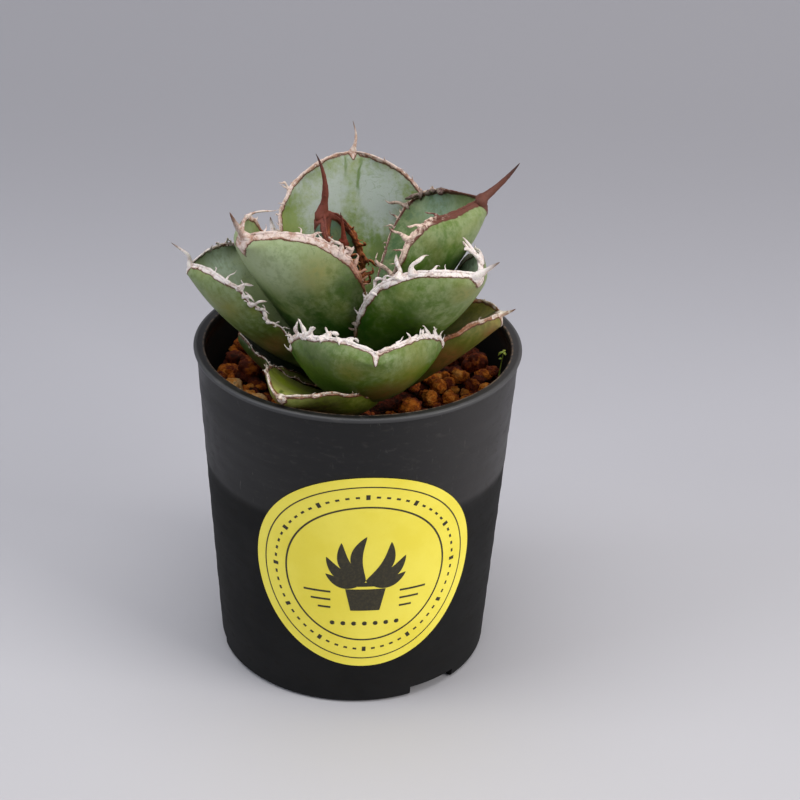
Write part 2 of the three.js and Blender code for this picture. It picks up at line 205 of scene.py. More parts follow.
class Paint:
    """One material. `base` is the colour so far, to which each coat adds."""
    def __init__(self, name, **surface):
        self.material = bpy.data.materials.new(name)
        self.material.use_nodes = True
        self.tree = self.material.node_tree
        self.shader = self.tree.nodes["Principled BSDF"]
        self.base = None
        for socket, value in surface.items():
            self.feed(self.shader.inputs[socket.replace("_", " ")], value)

    def feed(self, socket, value):
        if isinstance(value, bpy.types.NodeSocket):
            self.tree.links.new(value, socket)
        else:
            socket.default_value = value

    def node(self, kind, inputs, **settings):
        made = self.tree.nodes.new("ShaderNode" + kind)
        for name, value in settings.items():
            setattr(made, name, value)
        for name, value in inputs.items():
            self.feed(made.inputs[name], value)
        return made

    def value(self, name):
        return self.node("Attribute", {}, attribute_name=name).outputs["Fac"]

    def place(self, stretch=(1, 1, 1), uv=False):
        """Object coordinates, or the leaf's own coordinates, stretched along each axis"""
        source = self.node("TexCoord", {}).outputs["UV" if uv else "Object"]
        return self.node("Mapping", {"Vector": source, "Scale": stretch}).outputs["Vector"]

    def noise(self, scale, detail=3, rough=0.5, at=None, bend=0):
        inputs = {"Scale": scale, "Detail": detail, "Roughness": rough, "Distortion": bend}
        inputs["Vector"] = at if at is not None else self.place()
        return self.node("TexNoise", inputs).outputs["Fac"]

    def between(self, value, low, high, start=0.0, end=1.0):
        inputs = {"Value": value, "From Min": low, "From Max": high, "To Min": start, "To Max": end}
        return self.node("MapRange", inputs, interpolation_type="SMOOTHSTEP").outputs["Result"]

    def spread(self, noise, start, end):
        """A noise, which keeps near its middle, spread out to run from start to end"""
        return self.between(noise, 0.3, 0.7, start, end)

    def swing(self, noise, reach):
        return self.spread(noise, -reach, reach)

    def math(self, operation, a, b=0.0):
        return self.node("Math", {0: a, 1: b}, operation=operation).outputs[0]

    def add(self, *values):
        return reduce(lambda a, b: self.math("ADD", a, b), values)

    def times(self, *values):
        return reduce(lambda a, b: self.math("MULTIPLY", a, b), values)

    def gap(self, value, middle):
        return self.math("ABSOLUTE", self.math("SUBTRACT", value, middle))

    def split(self, place):
        return self.node("SeparateXYZ", {"Vector": place}).outputs

    def blend(self, share, a, b):
        return self.node("Mix", {0: share, 6: a, 7: b}, data_type="RGBA").outputs[2]

    def start(self, share, first, second):
        """The first coat, which runs from one shade to another"""
        self.base = self.blend(share, colour(*first), colour(*second))

    def coat(self, share, shade):
        """One more coat over what is there"""
        self.base = self.blend(share, self.base, colour(*shade))

    def bump(self, height, depth, strength=1.0):
        inputs = {"Height": height, "Distance": depth * MM, "Strength": strength}
        normal = self.node("Bump", inputs).outputs["Normal"]
        self.feed(self.shader.inputs["Normal"], normal)

    def finish(self, roughness):
        self.feed(self.shader.inputs["Base Color"], self.base)
        self.feed(self.shader.inputs["Roughness"], roughness)
        return self.material


# Leaves. Each is a blade that rises along its midrib and curls up at both margins. A corky
# band runs round the margin, carries the teeth, and runs into the end spine.

@dataclass
class Leaf:
    """Lengths are in millimetres, angles in degrees, and places along the leaf run from 0 to 1.
    The width runs from the midrib to the margin, which turns up by `curl` at the tip and by
    `base_curl` at the foot. The spine bends by `bend_rise` and `bend_turn` on its way."""
    azimuth: float
    height: float
    rise: float
    end_rise: float
    length: float
    width: float
    curl: float
    turn: float = 0
    start_radius: float = 5
    droop: float = 0
    roll: float = 0
    base_width: float = 9
    widest_at: float = 0.6
    bluntness: float = 0.6
    base_curl: float = 45
    base_thickness: float = 7
    end_thickness: float = 3
    spine: float = 4
    spine_radius: float = 1.2
    spine_rise: float = 10
    spine_turn: float = 0
    bend_rise: float = 0
    bend_turn: float = 0
    sway: float = 0
    kinked: bool = False
    dark_from: float = 0.5
    tan_below: float = 0
    band: float = 1.4
    low_band: float = 0.7
    band_start: float = 0.25
    band_full: float = 0.8
    far_side: int = 1
    far_band: float = 1.0
    notch: float = 4
    notch_width: float = 2
    rope: float = 0.5
    ruffle: float = 0.3
    tooth_size: float = 1.2
    tooth_gap: float = 3.5
    skin: str = "green"
    bloom: float = 0.3
    inner_bloom: float = 0.1
    horn: str = "white"
    blotches: tuple = ()
    teeth: tuple = ()


# A tooth is given as its side of the leaf (1 or -1), its place along the leaf, its length, how
# it leans towards the tip, how it lifts off the blade and how far it curls on its way. After
# that may come how stout and blunt it is, its side prongs, and how dark it is.
# A blotch is its face (1 inner, 0 outer), its place across and along, its size and its tint.
LEAVES = {
    "leaf_right_young": Leaf(
        7, 96, 48, 55, 48, 29, 72, turn=3, droop=-32, roll=20, bluntness=0.75, end_thickness=2, spine=14,
        spine_radius=1.4, spine_rise=-52, spine_turn=4, bend_rise=17, band=1.5, low_band=0.5, far_side=-1,
        far_band=0.5, notch=4, notch_width=2.5, rope=0.36, tooth_size=1.2, tooth_gap=4, skin="green",
        bloom=0.33, horn="young",
        blotches=((1, -20, 36, 10, "frost"),),
        teeth=(
            (-1, 0.83, 4.2, 50, 30, 60, 3.2, 0, 0.7), (-1, 0.7, 4.8, -50, 30, -60, 3.2, 0, 0.75),
            (-1, 0.76, 3.6, 70, 20, 30, 3, 0, 0.8), (-1, 0.6, 7, -45, 5, 25, 1.4, 0, 0.35),
            (-1, 0.5, 3.5, -20, 10, 60), (-1, 0.44, 3, 0, 10, -60), (-1, 0.78, 1.8, 10, 10, 60, 2.4),
            (1, 0.87, 4.4, 5, 15, -60, 1.6), (1, 0.76, 4.4, -45, 15, -10, 1.8),
            (1, 0.66, 6.4, -20, 20, 25, 1.5), (1, 0.58, 4.2, 20, 0, -70), (1, 0.54, 3.4, -35, -5, 40),
            (1, 0.43, 9, 25, 15, 60, 1.5), (1, 0.36, 6, 20, 20, 100, 1.5))),
    "leaf_centre_young": Leaf(
        162, 94, 78, 80, 37, 11, 75, turn=-3, start_radius=4, roll=5, widest_at=0.5, base_width=6,
        base_thickness=4, end_thickness=2, spine=17, spine_radius=1.3, spine_rise=27, spine_turn=10,
        bend_rise=-46, band=1.1, low_band=1, notch=9, notch_width=4, rope=0.4, tooth_size=1.2,
        tooth_gap=3.5, skin="dusk", horn="red", dark_from=0.7,
        teeth=(
            (1, 0.83, 3, -75, 30, 40), (1, 0.66, 4.2, 0, 20, 110, 1.8), (1, 0.5, 4.8, 30, 10, -110, 1.9),
            (1, 0.4, 4.6, 0, 20, 100, 1.8), (1, 0.58, 4.2, -30, 10, -100, 1.7),
            (1, 0.33, 4.4, 20, 0, 110, 1.8), (-1, 0.6, 2.5, 0, 10, 90))),
    "leaf_bud": Leaf(
        201, 97, 83, 86, 28, 3.4, 60, start_radius=2, widest_at=0.3, bluntness=1, base_width=3,
        base_curl=80, base_thickness=3, end_thickness=1.5, spine=8, spine_radius=0.8, spine_rise=0,
        bend_rise=-8, band=0.9, notch=8, notch_width=3, rope=0.38, tooth_size=1.4, tooth_gap=2.2,
        skin="dusk", horn="orange",
        teeth=(
            (-1, 0.85, 4, 10, 10, -80, 1.3), (-1, 0.6, 5, 20, 20, 90, 1.3),
            (1, 0.72, 4.5, 0, 20, -80, 1.4), (1, 0.5, 5, 30, 10, 90, 1.3), (-1, 0.4, 4, -20, 30, 80, 1.2),
            (1, 0.35, 4, -30, 0, 90))),
    "leaf_rear_tall": Leaf(
        95.4, 88.5, 51, 65.5, 54, 23.3, 39, turn=-4, start_radius=10, roll=-7.7, spine=9,
        spine_radius=0.62, spine_rise=11.5, spine_turn=-90, bend_turn=180, sway=-10, band=0.6,
        low_band=0.35, notch=2, notch_width=1.2, rope=0.3, tooth_size=1.1, tooth_gap=1.5, skin="bloom",
        bloom=0.5, horn="blush",
        teeth=(
            (-1, 0.79, 5.2, 5, -5, -50, 1.3), (-1, 0.76, 4.4, 25, -5, -50), (-1, 0.71, 2, -5, 0, -40),
            (-1, 0.65, 2, 10, 0, -60), (-1, 0.59, 1.8, 15, 0, 40), (1, 0.95, 1.7, 5, 0, 40),
            (1, 0.9, 1.4, 5, 0, -60), (1, 0.84, 2, 30, 10, 30), (-1, 0.55, 2.4, 0, 0, 90, 1.5),
            (1, 0.78, 1.8, 40, 10, 50, 1.8, 0, 0.5), (1, 0.73, 2.2, 60, 10, 40, 1.6, 0, 0.5))),
    "leaf_right_upper": Leaf(
        319.5, 91, 35, 56, 49.5, 23, 75, turn=2, roll=6.5, widest_at=0.65, bluntness=0.68,
        end_thickness=2, spine=7, spine_radius=1.15, spine_rise=-16, spine_turn=20, band=1.35, notch=2.6,
        notch_width=2.2, rope=0.42, dark_from=0.4, tan_below=0.42, tooth_size=1.2, tooth_gap=5,
        skin="green", bloom=0.22, horn="white",
        blotches=((0, 2, 45, 5, "straw"), (0, 10, 30, 8, "deep"), (1, -17, 37, 11, "painted_light")),
        teeth=(
            (1, 0.32, 4.4, -15, 0, 50), (1, 0.35, 7.4, 10, 20, 50), (1, 0.27, 3.4, 0, 0, 60),
            (1, 0.43, 3.2, 0, 15, 70, 1.2), (1, 0.49, 4.4, 50, 20, 80, 1.4),
            (1, 0.56, 2.8, 0, 15, 80, 1.5), (1, 0.64, 6.4, 45, 5, 110, 1.5), (1, 0.71, 5, 45, 0, 80, 1.3),
            (1, 0.8, 6.4, 25, 0, -30, 1.8), (1, 0.86, 7.4, 10, 0, 105, 1.6), (1, 0.92, 3, 5, 0, 110, 1.3),
            (1, 0.95, 2.2, 5, 0, 10), (-1, 0.968, 8.4, 5, -5, 5, 2, 2), (-1, 0.93, 3, 0, 0, 60))),
    "leaf_left_upper": Leaf(
        216.4, 90.4, 50.3, 58.3, 52.6, 24.3, 74, turn=-6.6, roll=-13, widest_at=0.66, bluntness=0.58,
        spine=8.5, spine_radius=1.25, spine_rise=-3, spine_turn=-2, bend_rise=11, bend_turn=11,
        dark_from=0, tan_below=0.76, band=1.8, low_band=0.25, band_start=0.45, band_full=0.82,
        far_band=0.55, notch=4, notch_width=2.2, rope=0.42, tooth_size=0.9, tooth_gap=4.5, skin="green",
        bloom=0.5, horn="blush",
        blotches=(
            (0, -6, 45, 11, "wax"), (0, 3, 45, 10, "wax"), (0, -15.9, 39.2, 6, "straw"),
            (0, -22, 31, 7, "deep")),
        teeth=(
            (-1, 0.75, 5.4, 40, 10, 90, 1.8), (-1, 0.8, 3, 20, 0, 60, 2.2), (-1, 0.85, 2.6, 10, 10, 90),
            (-1, 0.91, 2.6, 0, 0, 60), (-1, 0.985, 3, 0, 0, -10), (1, 0.9, 9.6, 5, 40, -45),
            (-1, 0.9, 4.6, -60, 10, 0, 1.9), (-1, 0.77, 4.6, -70, 10, 70, 2.4),
            (-1, 0.72, 2.6, 0, 40, 40, 2.2), (-1, 0.66, 3.6, 5, 0, 90, 1.8),
            (-1, 0.7, 4.6, 20, 0, 100, 2.2), (-1, 0.62, 3.4, 10, 10, -80, 1.4),
            (-1, 0.57, 2.8, -20, 0, 80, 1.3), (-1, 0.52, 2.8, 20, 10, -80), (1, 0.95, 2, 0, 10, 80),
            (1, 0.84, 2.4, -20, 20, 80))),
    "leaf_rear_left": Leaf(
        130, 86, 38, 46, 40, 16, 60, start_radius=8, roll=-8, spine=5, bend_rise=20),
    # The front middle leaf's bloom is kept low, partly as painted shade on a leaf that faces down towards
    # the front
    "leaf_front_middle": Leaf(
        272, 86, 6, 65, 45, 23, 60, turn=11, droop=5, roll=5, widest_at=0.69, spine=1.3, spine_radius=0.3,
        spine_rise=-40, spine_turn=-4, bend_rise=-50, dark_from=0, band=0.75, notch=2.3,
        notch_width=0.5, rope=0.44, ruffle=0.5, tooth_size=1.5, tooth_gap=1.8, skin="green", bloom=0.05,
        horn="white",
        blotches=(
            (0, 15, 35, 10, "deep"), (0, -10, 37, 9, "lime"), (0, 5, 39, 5, "lime"),
            (0, -4, 29, 7, "rust")),
        teeth=(
            (1, 0.78, 4.2, -10, 10, 60, 2.2), (1, 0.81, 5, 20, 10, -60, 2.4),
            (1, 0.84, 4.6, 30, 15, 60, 2.3), (1, 0.87, 4, -5, 0, 90, 2.4), (1, 0.9, 5.6, 45, 10, 60, 2.5),
            (1, 0.925, 3.4, 0, 0, -60, 2), (1, 0.95, 5.4, 50, 10, 60, 2.5), (1, 0.97, 3, 20, 10, 60, 1.8),
            (1, 0.74, 3, -20, 0, -70, 1.4), (1, 0.7, 2.6, 10, 10, 70, 1.4), (1, 0.64, 2.2, -10, 0, -60),
            (1, 0.58, 2.2, 0, 0, 60), (-1, 0.98, 3.4, -50, -5, -30, 1.3),
            (-1, 0.95, 3, -10, -10, 80, 1.5), (-1, 0.92, 2.8, -40, -20, 60, 1.4),
            (-1, 0.89, 3.2, -20, 10, -60, 1.6), (-1, 0.86, 3.6, 5, 0, 70, 1.7),
            (-1, 0.83, 3.4, 5, 10, -80, 1.6), (-1, 0.8, 3.6, 0, 20, 60, 1.7),
            (-1, 0.77, 2.6, 0, 0, -60, 1.4), (-1, 0.73, 2, 0, 0, 60), (1, 0.44, 3, 0, 10, 60),
            (1, 0.39, 2.2, 0, 0, -60), (-1, 0.64, 2.2, -20, 30, 40))),
    "leaf_rear_right": Leaf(
        60, 84, 28, 46, 42, 16, 60, start_radius=6, spine=6, bend_rise=-20, bend_turn=30),
    "leaf_left_lower": Leaf(
        187.3, 88.5, 17, 53.7, 50.4, 19.2, 71, turn=-7.9, roll=-3.2, widest_at=0.79, bluntness=0.66,
        end_thickness=2, spine=8.5, spine_radius=0.8, spine_rise=34, spine_turn=22.5, bend_rise=-60,
        bend_turn=-40, kinked=True, band=0.95, low_band=0.15, band_start=0.7, band_full=0.95,
        far_band=0.5, notch=2.6, notch_width=1.6, rope=0.4, ruffle=0.5, tooth_size=1.3, tooth_gap=2.6,
        skin="olive", bloom=0.3, inner_bloom=0.9, horn="white",
        blotches=((1, 11, 42, 11, "painted_light"), (0, -10, 21, 6, "rust"), (0, -12, 38, 6, "lime")),
        teeth=(
            (-1, 0.89, 4.4, -20, 10, 0), (-1, 0.82, 4.6, -20, 5, -60, 1.6),
            (-1, 0.79, 3.4, 20, 5, 60, 1.6), (-1, 0.76, 3.4, -20, 0, -80, 1.6),
            (-1, 0.7, 5.2, 10, 0, -70, 1.5), (-1, 0.73, 3.2, 20, 0, 80, 1.5),
            (-1, 0.65, 3.6, -20, -20, -80, 1.6), (-1, 0.58, 4, 30, 0, 90, 1.6),
            (-1, 0.55, 3, -20, -20, -60, 1.6), (-1, 0.5, 2.6, 0, -10, 60, 1.4),
            (1, 0.85, 4.4, -10, 10, 60, 2, 0, 0.5), (1, 0.93, 2.4, 10, 0, 80, 1.8),
            (1, 0.9, 2.2, -20, 0, 60, 2, 0, 0.3), (1, 0.96, 2.2, 20, 0, -80, 1.8, 0, 0.3),
            (1, 0.88, 1.8, 0, 0, 90, 2, 0, 0.4), (1, 0.82, 2.4, 0, 10, -60), (-1, 0.94, 2, 0, 0, 60, 1.4),
            (-1, 0.45, 2.4, 0, 0, -60))),
    "leaf_right_lower": Leaf(
        351, 82, 29, 42, 41, 14.5, 51, turn=4, droop=6, roll=6, spine=4.5, spine_radius=0.9,
        spine_rise=-19, spine_turn=-8, bend_rise=20, tan_below=0.95, band=0.6, low_band=0.25, notch=2.2,
        notch_width=1.4, rope=0.26, tooth_size=1, tooth_gap=2.4, skin="brown", bloom=0.1, horn="cream",
        blotches=((0, 3, 37, 4, "rust"), (0, 8, 25, 6, "rust")),
        teeth=(
            (1, 0.9, 1.8, 0, 0, 60), (1, 0.66, 2.2, 20, 0, -60))),
    "leaf_rear_lowest": Leaf(
        110, 80, 20, 32, 36, 15, 45, start_radius=6, base_thickness=5, spine=3),
    "leaf_front_lowest": Leaf(
        249, 79, 16, 38, 42, 17, 41, turn=-14, droop=25, widest_at=0.46, base_thickness=5, spine=1.5,
        spine_radius=0.8, spine_rise=0, band=0.45, low_band=0.25, notch=1.2, notch_width=1.2, rope=0.3,
        tooth_size=1, tooth_gap=1, skin="lime", inner_bloom=0.6, horn="cream",
        blotches=((1, 9, 26, 8, "fresh"), (0, -6, 34, 9, "shade"), (0, 1, 40, 3, "rust"))),
    "leaf_left_lowest": Leaf(
        182, 79.5, 9, 52, 32.5, 13.8, 38, turn=-6, roll=-2, base_thickness=3, end_thickness=1.5, spine=1,
        spine_radius=0.4, band=0.15, low_band=0.1, notch=0.5, notch_width=0.5, rope=0.16, tooth_size=0.8,
        tooth_gap=1.6, skin="shade", bloom=0.1, horn="cream"),
}


def midrib(leaf, share):
    """Points and frames along the midrib: point, direction, sideways and inward"""
    count = 400
    fine = np.linspace(0, 1, count + 1)

    def ahead(t):
        droop = leaf.droop * np.clip((t - 0.7) / 0.3, 0, 1) ** 2
        return heading(leaf.azimuth + leaf.turn * t, mix(leaf.rise, leaf.end_rise, t) - droop)

    start = heading(leaf.azimuth, 0) * leaf.start_radius + [0, 0, leaf.height]
    steps = ahead((fine[1:] + fine[:-1]) / 2) * leaf.length / count
    path = np.vstack([start, start + np.cumsum(steps, axis=0)])
    point = np.stack([np.interp(share, fine, path[:, k]) for k in range(3)], axis=-1)
    direction = ahead(share)
    side = heading(leaf.azimuth + leaf.turn * share - 90, 0)
    inward = np.cross(side, direction)
    roll = np.radians(leaf.roll) * share ** 0.7
    cos, sin = np.cos(roll)[..., None], np.sin(roll)[..., None]
    return point, direction, side * cos + inward * sin, inward * cos - side * sin


def half_width(leaf, share):
    grow = np.sin(np.clip(share / leaf.widest_at, 0, 1) * np.pi / 2) ** 1.3
    past = np.clip((share - leaf.widest_at) / (1 - leaf.widest_at), 0, 1)
    taper = leaf.width * np.maximum(1 - past ** 2, 0) ** leaf.bluntness
    low = mix(leaf.base_width, leaf.width, grow)
    return np.maximum(np.where(share < leaf.widest_at, low, taper), 0.8)


def blade(leaf, share, across, lift):
    """Points of the blade, with the directions out to the margin and off the inner face"""
    share, across = np.broadcast_arrays(np.asarray(share, float), np.asarray(across, float))
    point, direction, side, inward = midrib(leaf, share)
    curl = np.radians(mix(leaf.base_curl, leaf.curl, share))
    angle = across * curl
    half = half_width(leaf, share)
    cos, sin = np.cos(angle)[..., None], np.sin(angle)[..., None]
    normal = inward * cos - side * sin
    out = side * cos + inward * sin
    sideways = side * (half * np.sin(angle) / curl)[..., None]
    up = inward * (half * (1 - np.cos(angle)) / curl)[..., None]
    ruffle = leaf.ruffle * np.abs(across) ** 6 * np.sin(share * 37 + across * 2 + leaf.azimuth)
    lift = np.asarray(lift, float) + ruffle * smooth(0.15, 0.5, share)
    return point + sideways + up + normal * lift[..., None], out, normal


def margin_line(leaf, side, count=260):
    """The edge of the blade from the base to the tip on one side, with frames along it"""
    share = np.linspace(0.04, 1, count)
    point, out, normal = blade(leaf, share, np.full(count, float(side)), -0.15)
    along = unit(np.gradient(point, axis=0))
    out = out * side
    out = unit(out - along * np.sum(out * along, axis=1, keepdims=True))
    normal = unit(np.cross(out, along) * side)
    return share, point, along, out, normal


def band_width(leaf, share, side):
    wide = mix(leaf.low_band, leaf.band, smooth(leaf.band_start, leaf.band_full, share))
    return wide * (leaf.far_band if side == leaf.far_side else 1)


def margin_distance(leaf, points, share, across):
    """How far points of the blade lie inside the corky band's border. Negative is corky.
    The band reaches down the midrib at the tip, as a notch. Points go through in batches."""
    batch = 2000
    lines = {side: margin_line(leaf, side, 220) for side in (-1, 1)}
    edge = np.vstack([line[1] for line in lines.values()])
    width = np.concatenate([band_width(leaf, line[0], side) for side, line in lines.items()])
    flat = points.reshape(-1, 3)
    inside = np.empty(len(flat))
    for first in range(0, len(flat), batch):
        part = flat[first:first + batch]
        apart = np.linalg.norm(part[:, None] - edge[None], axis=2)
        inside[first:first + batch] = np.min(apart - width[None], axis=1)
    inside = inside.reshape(share.shape) + 0.35 * bumps(points, 2.2, leaf.azimuth, 2)
    from_tip = (1 - share) * leaf.length
    aside = np.abs(across) * half_width(leaf, share)
    notch = (from_tip / leaf.notch + aside / leaf.notch_width - 1) * 0.45 * leaf.notch
    return np.minimum(inside, notch + 0.3 * bumps(points, 1.5, leaf.azimuth + 1, 2))


def add_blade(shape, leaf):
    """Inner and outer face of the blade, with the corky band raised a little"""
    share = 1 - (1 - np.linspace(0, 1, 92)) ** 1.45
    # Columns lie close together near the margins, where the band's border runs
    from_edge = np.array([0, 0.35, 0.7, 1.05, 1.4, 1.8, 2.2, 2.7, 3.4, 4.4]) * min(1, leaf.width / 12)
    rim = 1 - from_edge / leaf.width
    middle = np.linspace(-rim[-1], rim[-1], 15)[1:-1]
    across = np.concatenate([-rim, middle, rim[::-1]])
    t, v = np.meshgrid(share, across, indexing="ij")
    slim = np.minimum(1, half_width(leaf, t) / (0.35 * leaf.width))
    body = mix(leaf.base_thickness, leaf.end_thickness, t) * slim * (1 - v * v) + 0.6
    faces = []
    for inner, sign, lift in ((1.0, 1, 0.25 * body), (0.0, -1, -0.75 * body)):
        points, _, normal = blade(leaf, t, v, lift)
        margin = margin_distance(leaf, points, t, v)
        cork = smooth(0.15, -0.3, margin)
        raised = cork * (0.2 + 0.12 * bumps(points, 1.1, leaf.azimuth + 2, 2))
        flesh = (1 - cork) * 0.12 * bumps(points, 9, leaf.azimuth + 3, 2)
        points = points + normal * (sign * (raised + flesh))[..., None]
        uv = np.stack([v * half_width(leaf, t), t * leaf.length], axis=-1)
        faces.append([points, uv, margin, t, np.full(t.shape, inner)])
    ring = [np.concatenate([a, b[:, ::-1]], axis=1) for a, b in zip(*faces)]
    points, uv, margin, share_value, inner_value = ring
    skin, skin_faces = closed(points, points[0].mean(axis=0), points[-1].mean(axis=0))
    shape.add(
        skin, skin_faces, uv=np.vstack([uv.reshape(-1, 2), uv[0, 0], uv[-1, 0]]),
        margin=np.append(margin.ravel(), [3, -1]), share=np.append(share_value.ravel(), [0, 1]),
        inner=np.append(inner_value.ravel(), [0, 0]))


def add_rope(shape, leaf, side):
    """The knobbly corky edge along one margin"""
    share, point, along, out, normal = margin_line(leaf, side, 190)
    size = leaf.rope * (band_width(leaf, share, side) / leaf.band) ** 0.5
    swell = bumps(point, 1.6, leaf.azimuth + side, 3)
    wander = bumps(point, 2.5, leaf.azimuth + 5 * side, 2)
    path = point + out * (0.12 + 0.3 * swell * size)[:, None] + normal * (0.35 * wander * size)[:, None]
    widths = size * (1 + 0.6 * swell)
    depths = size * (0.75 + 0.35 * bumps(point, 1.2, leaf.azimuth + 9, 2))
    add_tube(shape, path, widths, depths, out, sides=8, margin=-1.0, share=share)


def add_tooth(shape, leaf, line, place, length, lean, lift, curl, stout=1.0, prongs=0, dark=0.0):
    """A tapered, flattened tooth that stands on the margin and curls on its way"""
    share, point, along, out, normal = line
    k = int(np.clip(np.searchsorted(share, place), 1, len(share) - 2))
    steps = 13
    way = (np.arange(steps) + 0.5) / steps
    leaning = np.radians(lean + curl * way ** 1.5 + 24 * np.sin(way * 9 + lean))
    lifting = np.radians(lift + 18 * np.sin(way * 5 + lean))
    flat = out[k] * np.cos(leaning)[:, None] + along[k] * np.sin(leaning)[:, None]
    step = flat * np.cos(lifting)[:, None] + normal[k] * np.sin(lifting)[:, None]
    start = point[k] - out[k] * 0.5
    path = np.vstack([start, start + np.cumsum(step * (length + 0.5) / steps, axis=0)])
    way = np.linspace(0, 1, steps + 1)
    thick = (0.25 + 0.045 * length) * stout ** 0.7
    knots = 1 + 0.24 * np.sin(way * 10 + length * 3 + lean)
    widths = thick * ((1 - way) ** (0.8 / stout) * knots + 0.9 * np.exp(-way / 0.1))
    widths = np.maximum(widths, 0.07)
    tip = dark + 0.25 * smooth(0.75, 1.0, way)
    add_tube(shape, path, widths, widths * 0.62, along[k], 7, margin=-1.0, share=place, tip=tip)
    for number in range(prongs):
        turn = np.radians(60 * (number - (prongs - 1) / 2) + 50 * way)
        flat = out[k] * np.cos(turn)[:, None] + along[k] * np.sin(turn)[:, None]
        start = path[5 + 2 * number] - flat[0] * 0.3
        prong = start + np.cumsum(flat * 0.7 * length / steps, axis=0)
        slim = np.maximum(0.8 * thick * (1 - way) ** 0.5, 0.07)
        add_tube(shape, prong, slim, slim * 0.7, along[k], 7, margin=-1.0, share=place, tip=tip)


def add_teeth(shape, leaf, chance):
    """The listed teeth, and small ones between them"""
    lines = {side: margin_line(leaf, side) for side in (-1, 1)}
    for side, place, *bend in leaf.teeth:
        add_tooth(shape, leaf, lines[side], place, *bend)
    for side in (-1, 1):
        taken = [tooth[1] for tooth in leaf.teeth if tooth[0] == side]
        place = 0.22
        while place < 0.97:
            place += leaf.tooth_gap / leaf.length * chance.uniform(0.4, 1.6)
            length = leaf.tooth_size * chance.choice((0.5, 0.7, 1.0, 1.7))
            lean = chance.uniform(-40, 40)
            lift = chance.uniform(-15, 25)
            curl = chance.uniform(-110, 110)
            stout = chance.uniform(0.9, 1.6)
            if place < 0.97 and all(abs(place - other) > 0.02 for other in taken):
                add_tooth(shape, leaf, lines[side], place, length, lean, lift, curl, stout)


def add_spine(shape, leaf):
    """The end spine, which leaves the tip with a broad foot and bends on its way"""
    steps = 24
    way = (np.arange(steps) + 0.5) / steps
    bent = smooth(0.1, 0.6, way) if leaf.kinked else way
    azimuth = leaf.azimuth + leaf.turn + leaf.spine_turn + leaf.bend_turn * bent
    sway = leaf.sway * np.sin(way * np.pi)
    elevation = leaf.end_rise - leaf.droop + leaf.spine_rise + leaf.bend_rise * bent + sway
    point, direction, side, inward = (part[0] for part in midrib(leaf, np.array([1.0])))
    foot = min(1.6, 0.2 * leaf.spine + 0.4)
    path = point + np.cumsum(heading(azimuth, elevation) * leaf.spine / steps, axis=0)
    path = np.vstack([point - direction * foot, point - direction * foot / 2, point, path])
    way = np.concatenate([[-0.1, -0.05, 0], np.linspace(0, 1, steps + 1)[1:]])
    body = leaf.spine_radius * np.maximum(1 - np.maximum(way, 0), 0) ** 0.62
    broad = 1.3 * leaf.spine_radius * np.exp(-np.maximum(way, 0) / 0.11)
    knots = 1 + 0.18 * bumps(path, 1.6, leaf.azimuth + 11, 3)
    widths = np.maximum((body * 0.85 + broad) * knots, 0.06)
    depths = np.maximum((body * 0.8 + broad * 0.3) * knots, 0.06)
    dark = smooth(leaf.dark_from, 1.0, way)
    add_tube(shape, path, widths, depths, side, 12, margin=-1.5, share=1.0, tip=dark)


# Colours from 0 to 255: of the flesh, of the cork on margin, teeth and spine, and of blotches
# The deep and low greens of a skin are partly painted shade, where the foot of a leaf lies deep in the
# rosette
SKINS = {
    "green": dict(deep=(37, 76, 3), mid=(74, 100, 18), pale=(134, 145, 102), low=(28, 54, 3)),
    "bloom": dict(deep=(76, 100, 32), mid=(106, 124, 52), pale=(146, 155, 146), low=(76, 84, 26)),
    "dusk": dict(deep=(28, 54, 30), mid=(58, 86, 50), pale=(88, 110, 92), low=(36, 34, 14)),
    "olive": dict(deep=(44, 58, 8), mid=(80, 98, 24), pale=(126, 140, 98), low=(66, 56, 12)),
    "brown": dict(deep=(56, 62, 8), mid=(78, 86, 16), pale=(128, 118, 54), low=(64, 44, 8)),
    "lime": dict(deep=(62, 76, 4), mid=(82, 96, 10), pale=(132, 136, 66), low=(44, 38, 4)),
    # The skin shade is painted shade: a dark green for the lowest leaf, which lies in shadow under the
    # leaf above it
    "shade": dict(deep=(26, 38, 6), mid=(38, 52, 10), pale=(66, 80, 26), low=(22, 28, 6)),
}
HORNS = {
    "white": dict(pale=(222, 212, 206), warm=(184, 160, 146), dark=(96, 66, 52), warmth=0.2),
    "cream": dict(pale=(214, 202, 188), warm=(146, 102, 74), dark=(88, 50, 30), warmth=0.35),
    "blush": dict(pale=(208, 190, 180), warm=(160, 122, 102), dark=(98, 64, 48), warmth=0.35),
    "young": dict(pale=(210, 186, 170), warm=(94, 50, 36), dark=(44, 22, 18), warmth=0.35),
    "orange": dict(pale=(204, 138, 80), warm=(116, 44, 24), dark=(50, 18, 14), warmth=0.45),
    "red": dict(pale=(188, 108, 62), warm=(106, 48, 34), dark=(38, 16, 16), warmth=0.4),
}
# Blotch tints. deep and shade darken parts of leaves that lie in shadow: partly the leaf's own darker
# colour, partly painted shade
TINTS = {
    "straw": (136, 136, 76), "lime": (112, 112, 32), "rust": (124, 84, 40), "wax": (158, 171, 132),
    # The palest tint, on inner faces that lie in shadow, is painted light
    "frost": (126, 150, 130), "painted_light": (186, 204, 184), "deep": (44, 66, 8), "fresh": (176, 198, 24),
    "shade": (42, 40, 8),
}
TAN = (146, 88, 54)
BORDER = (84, 44, 26)


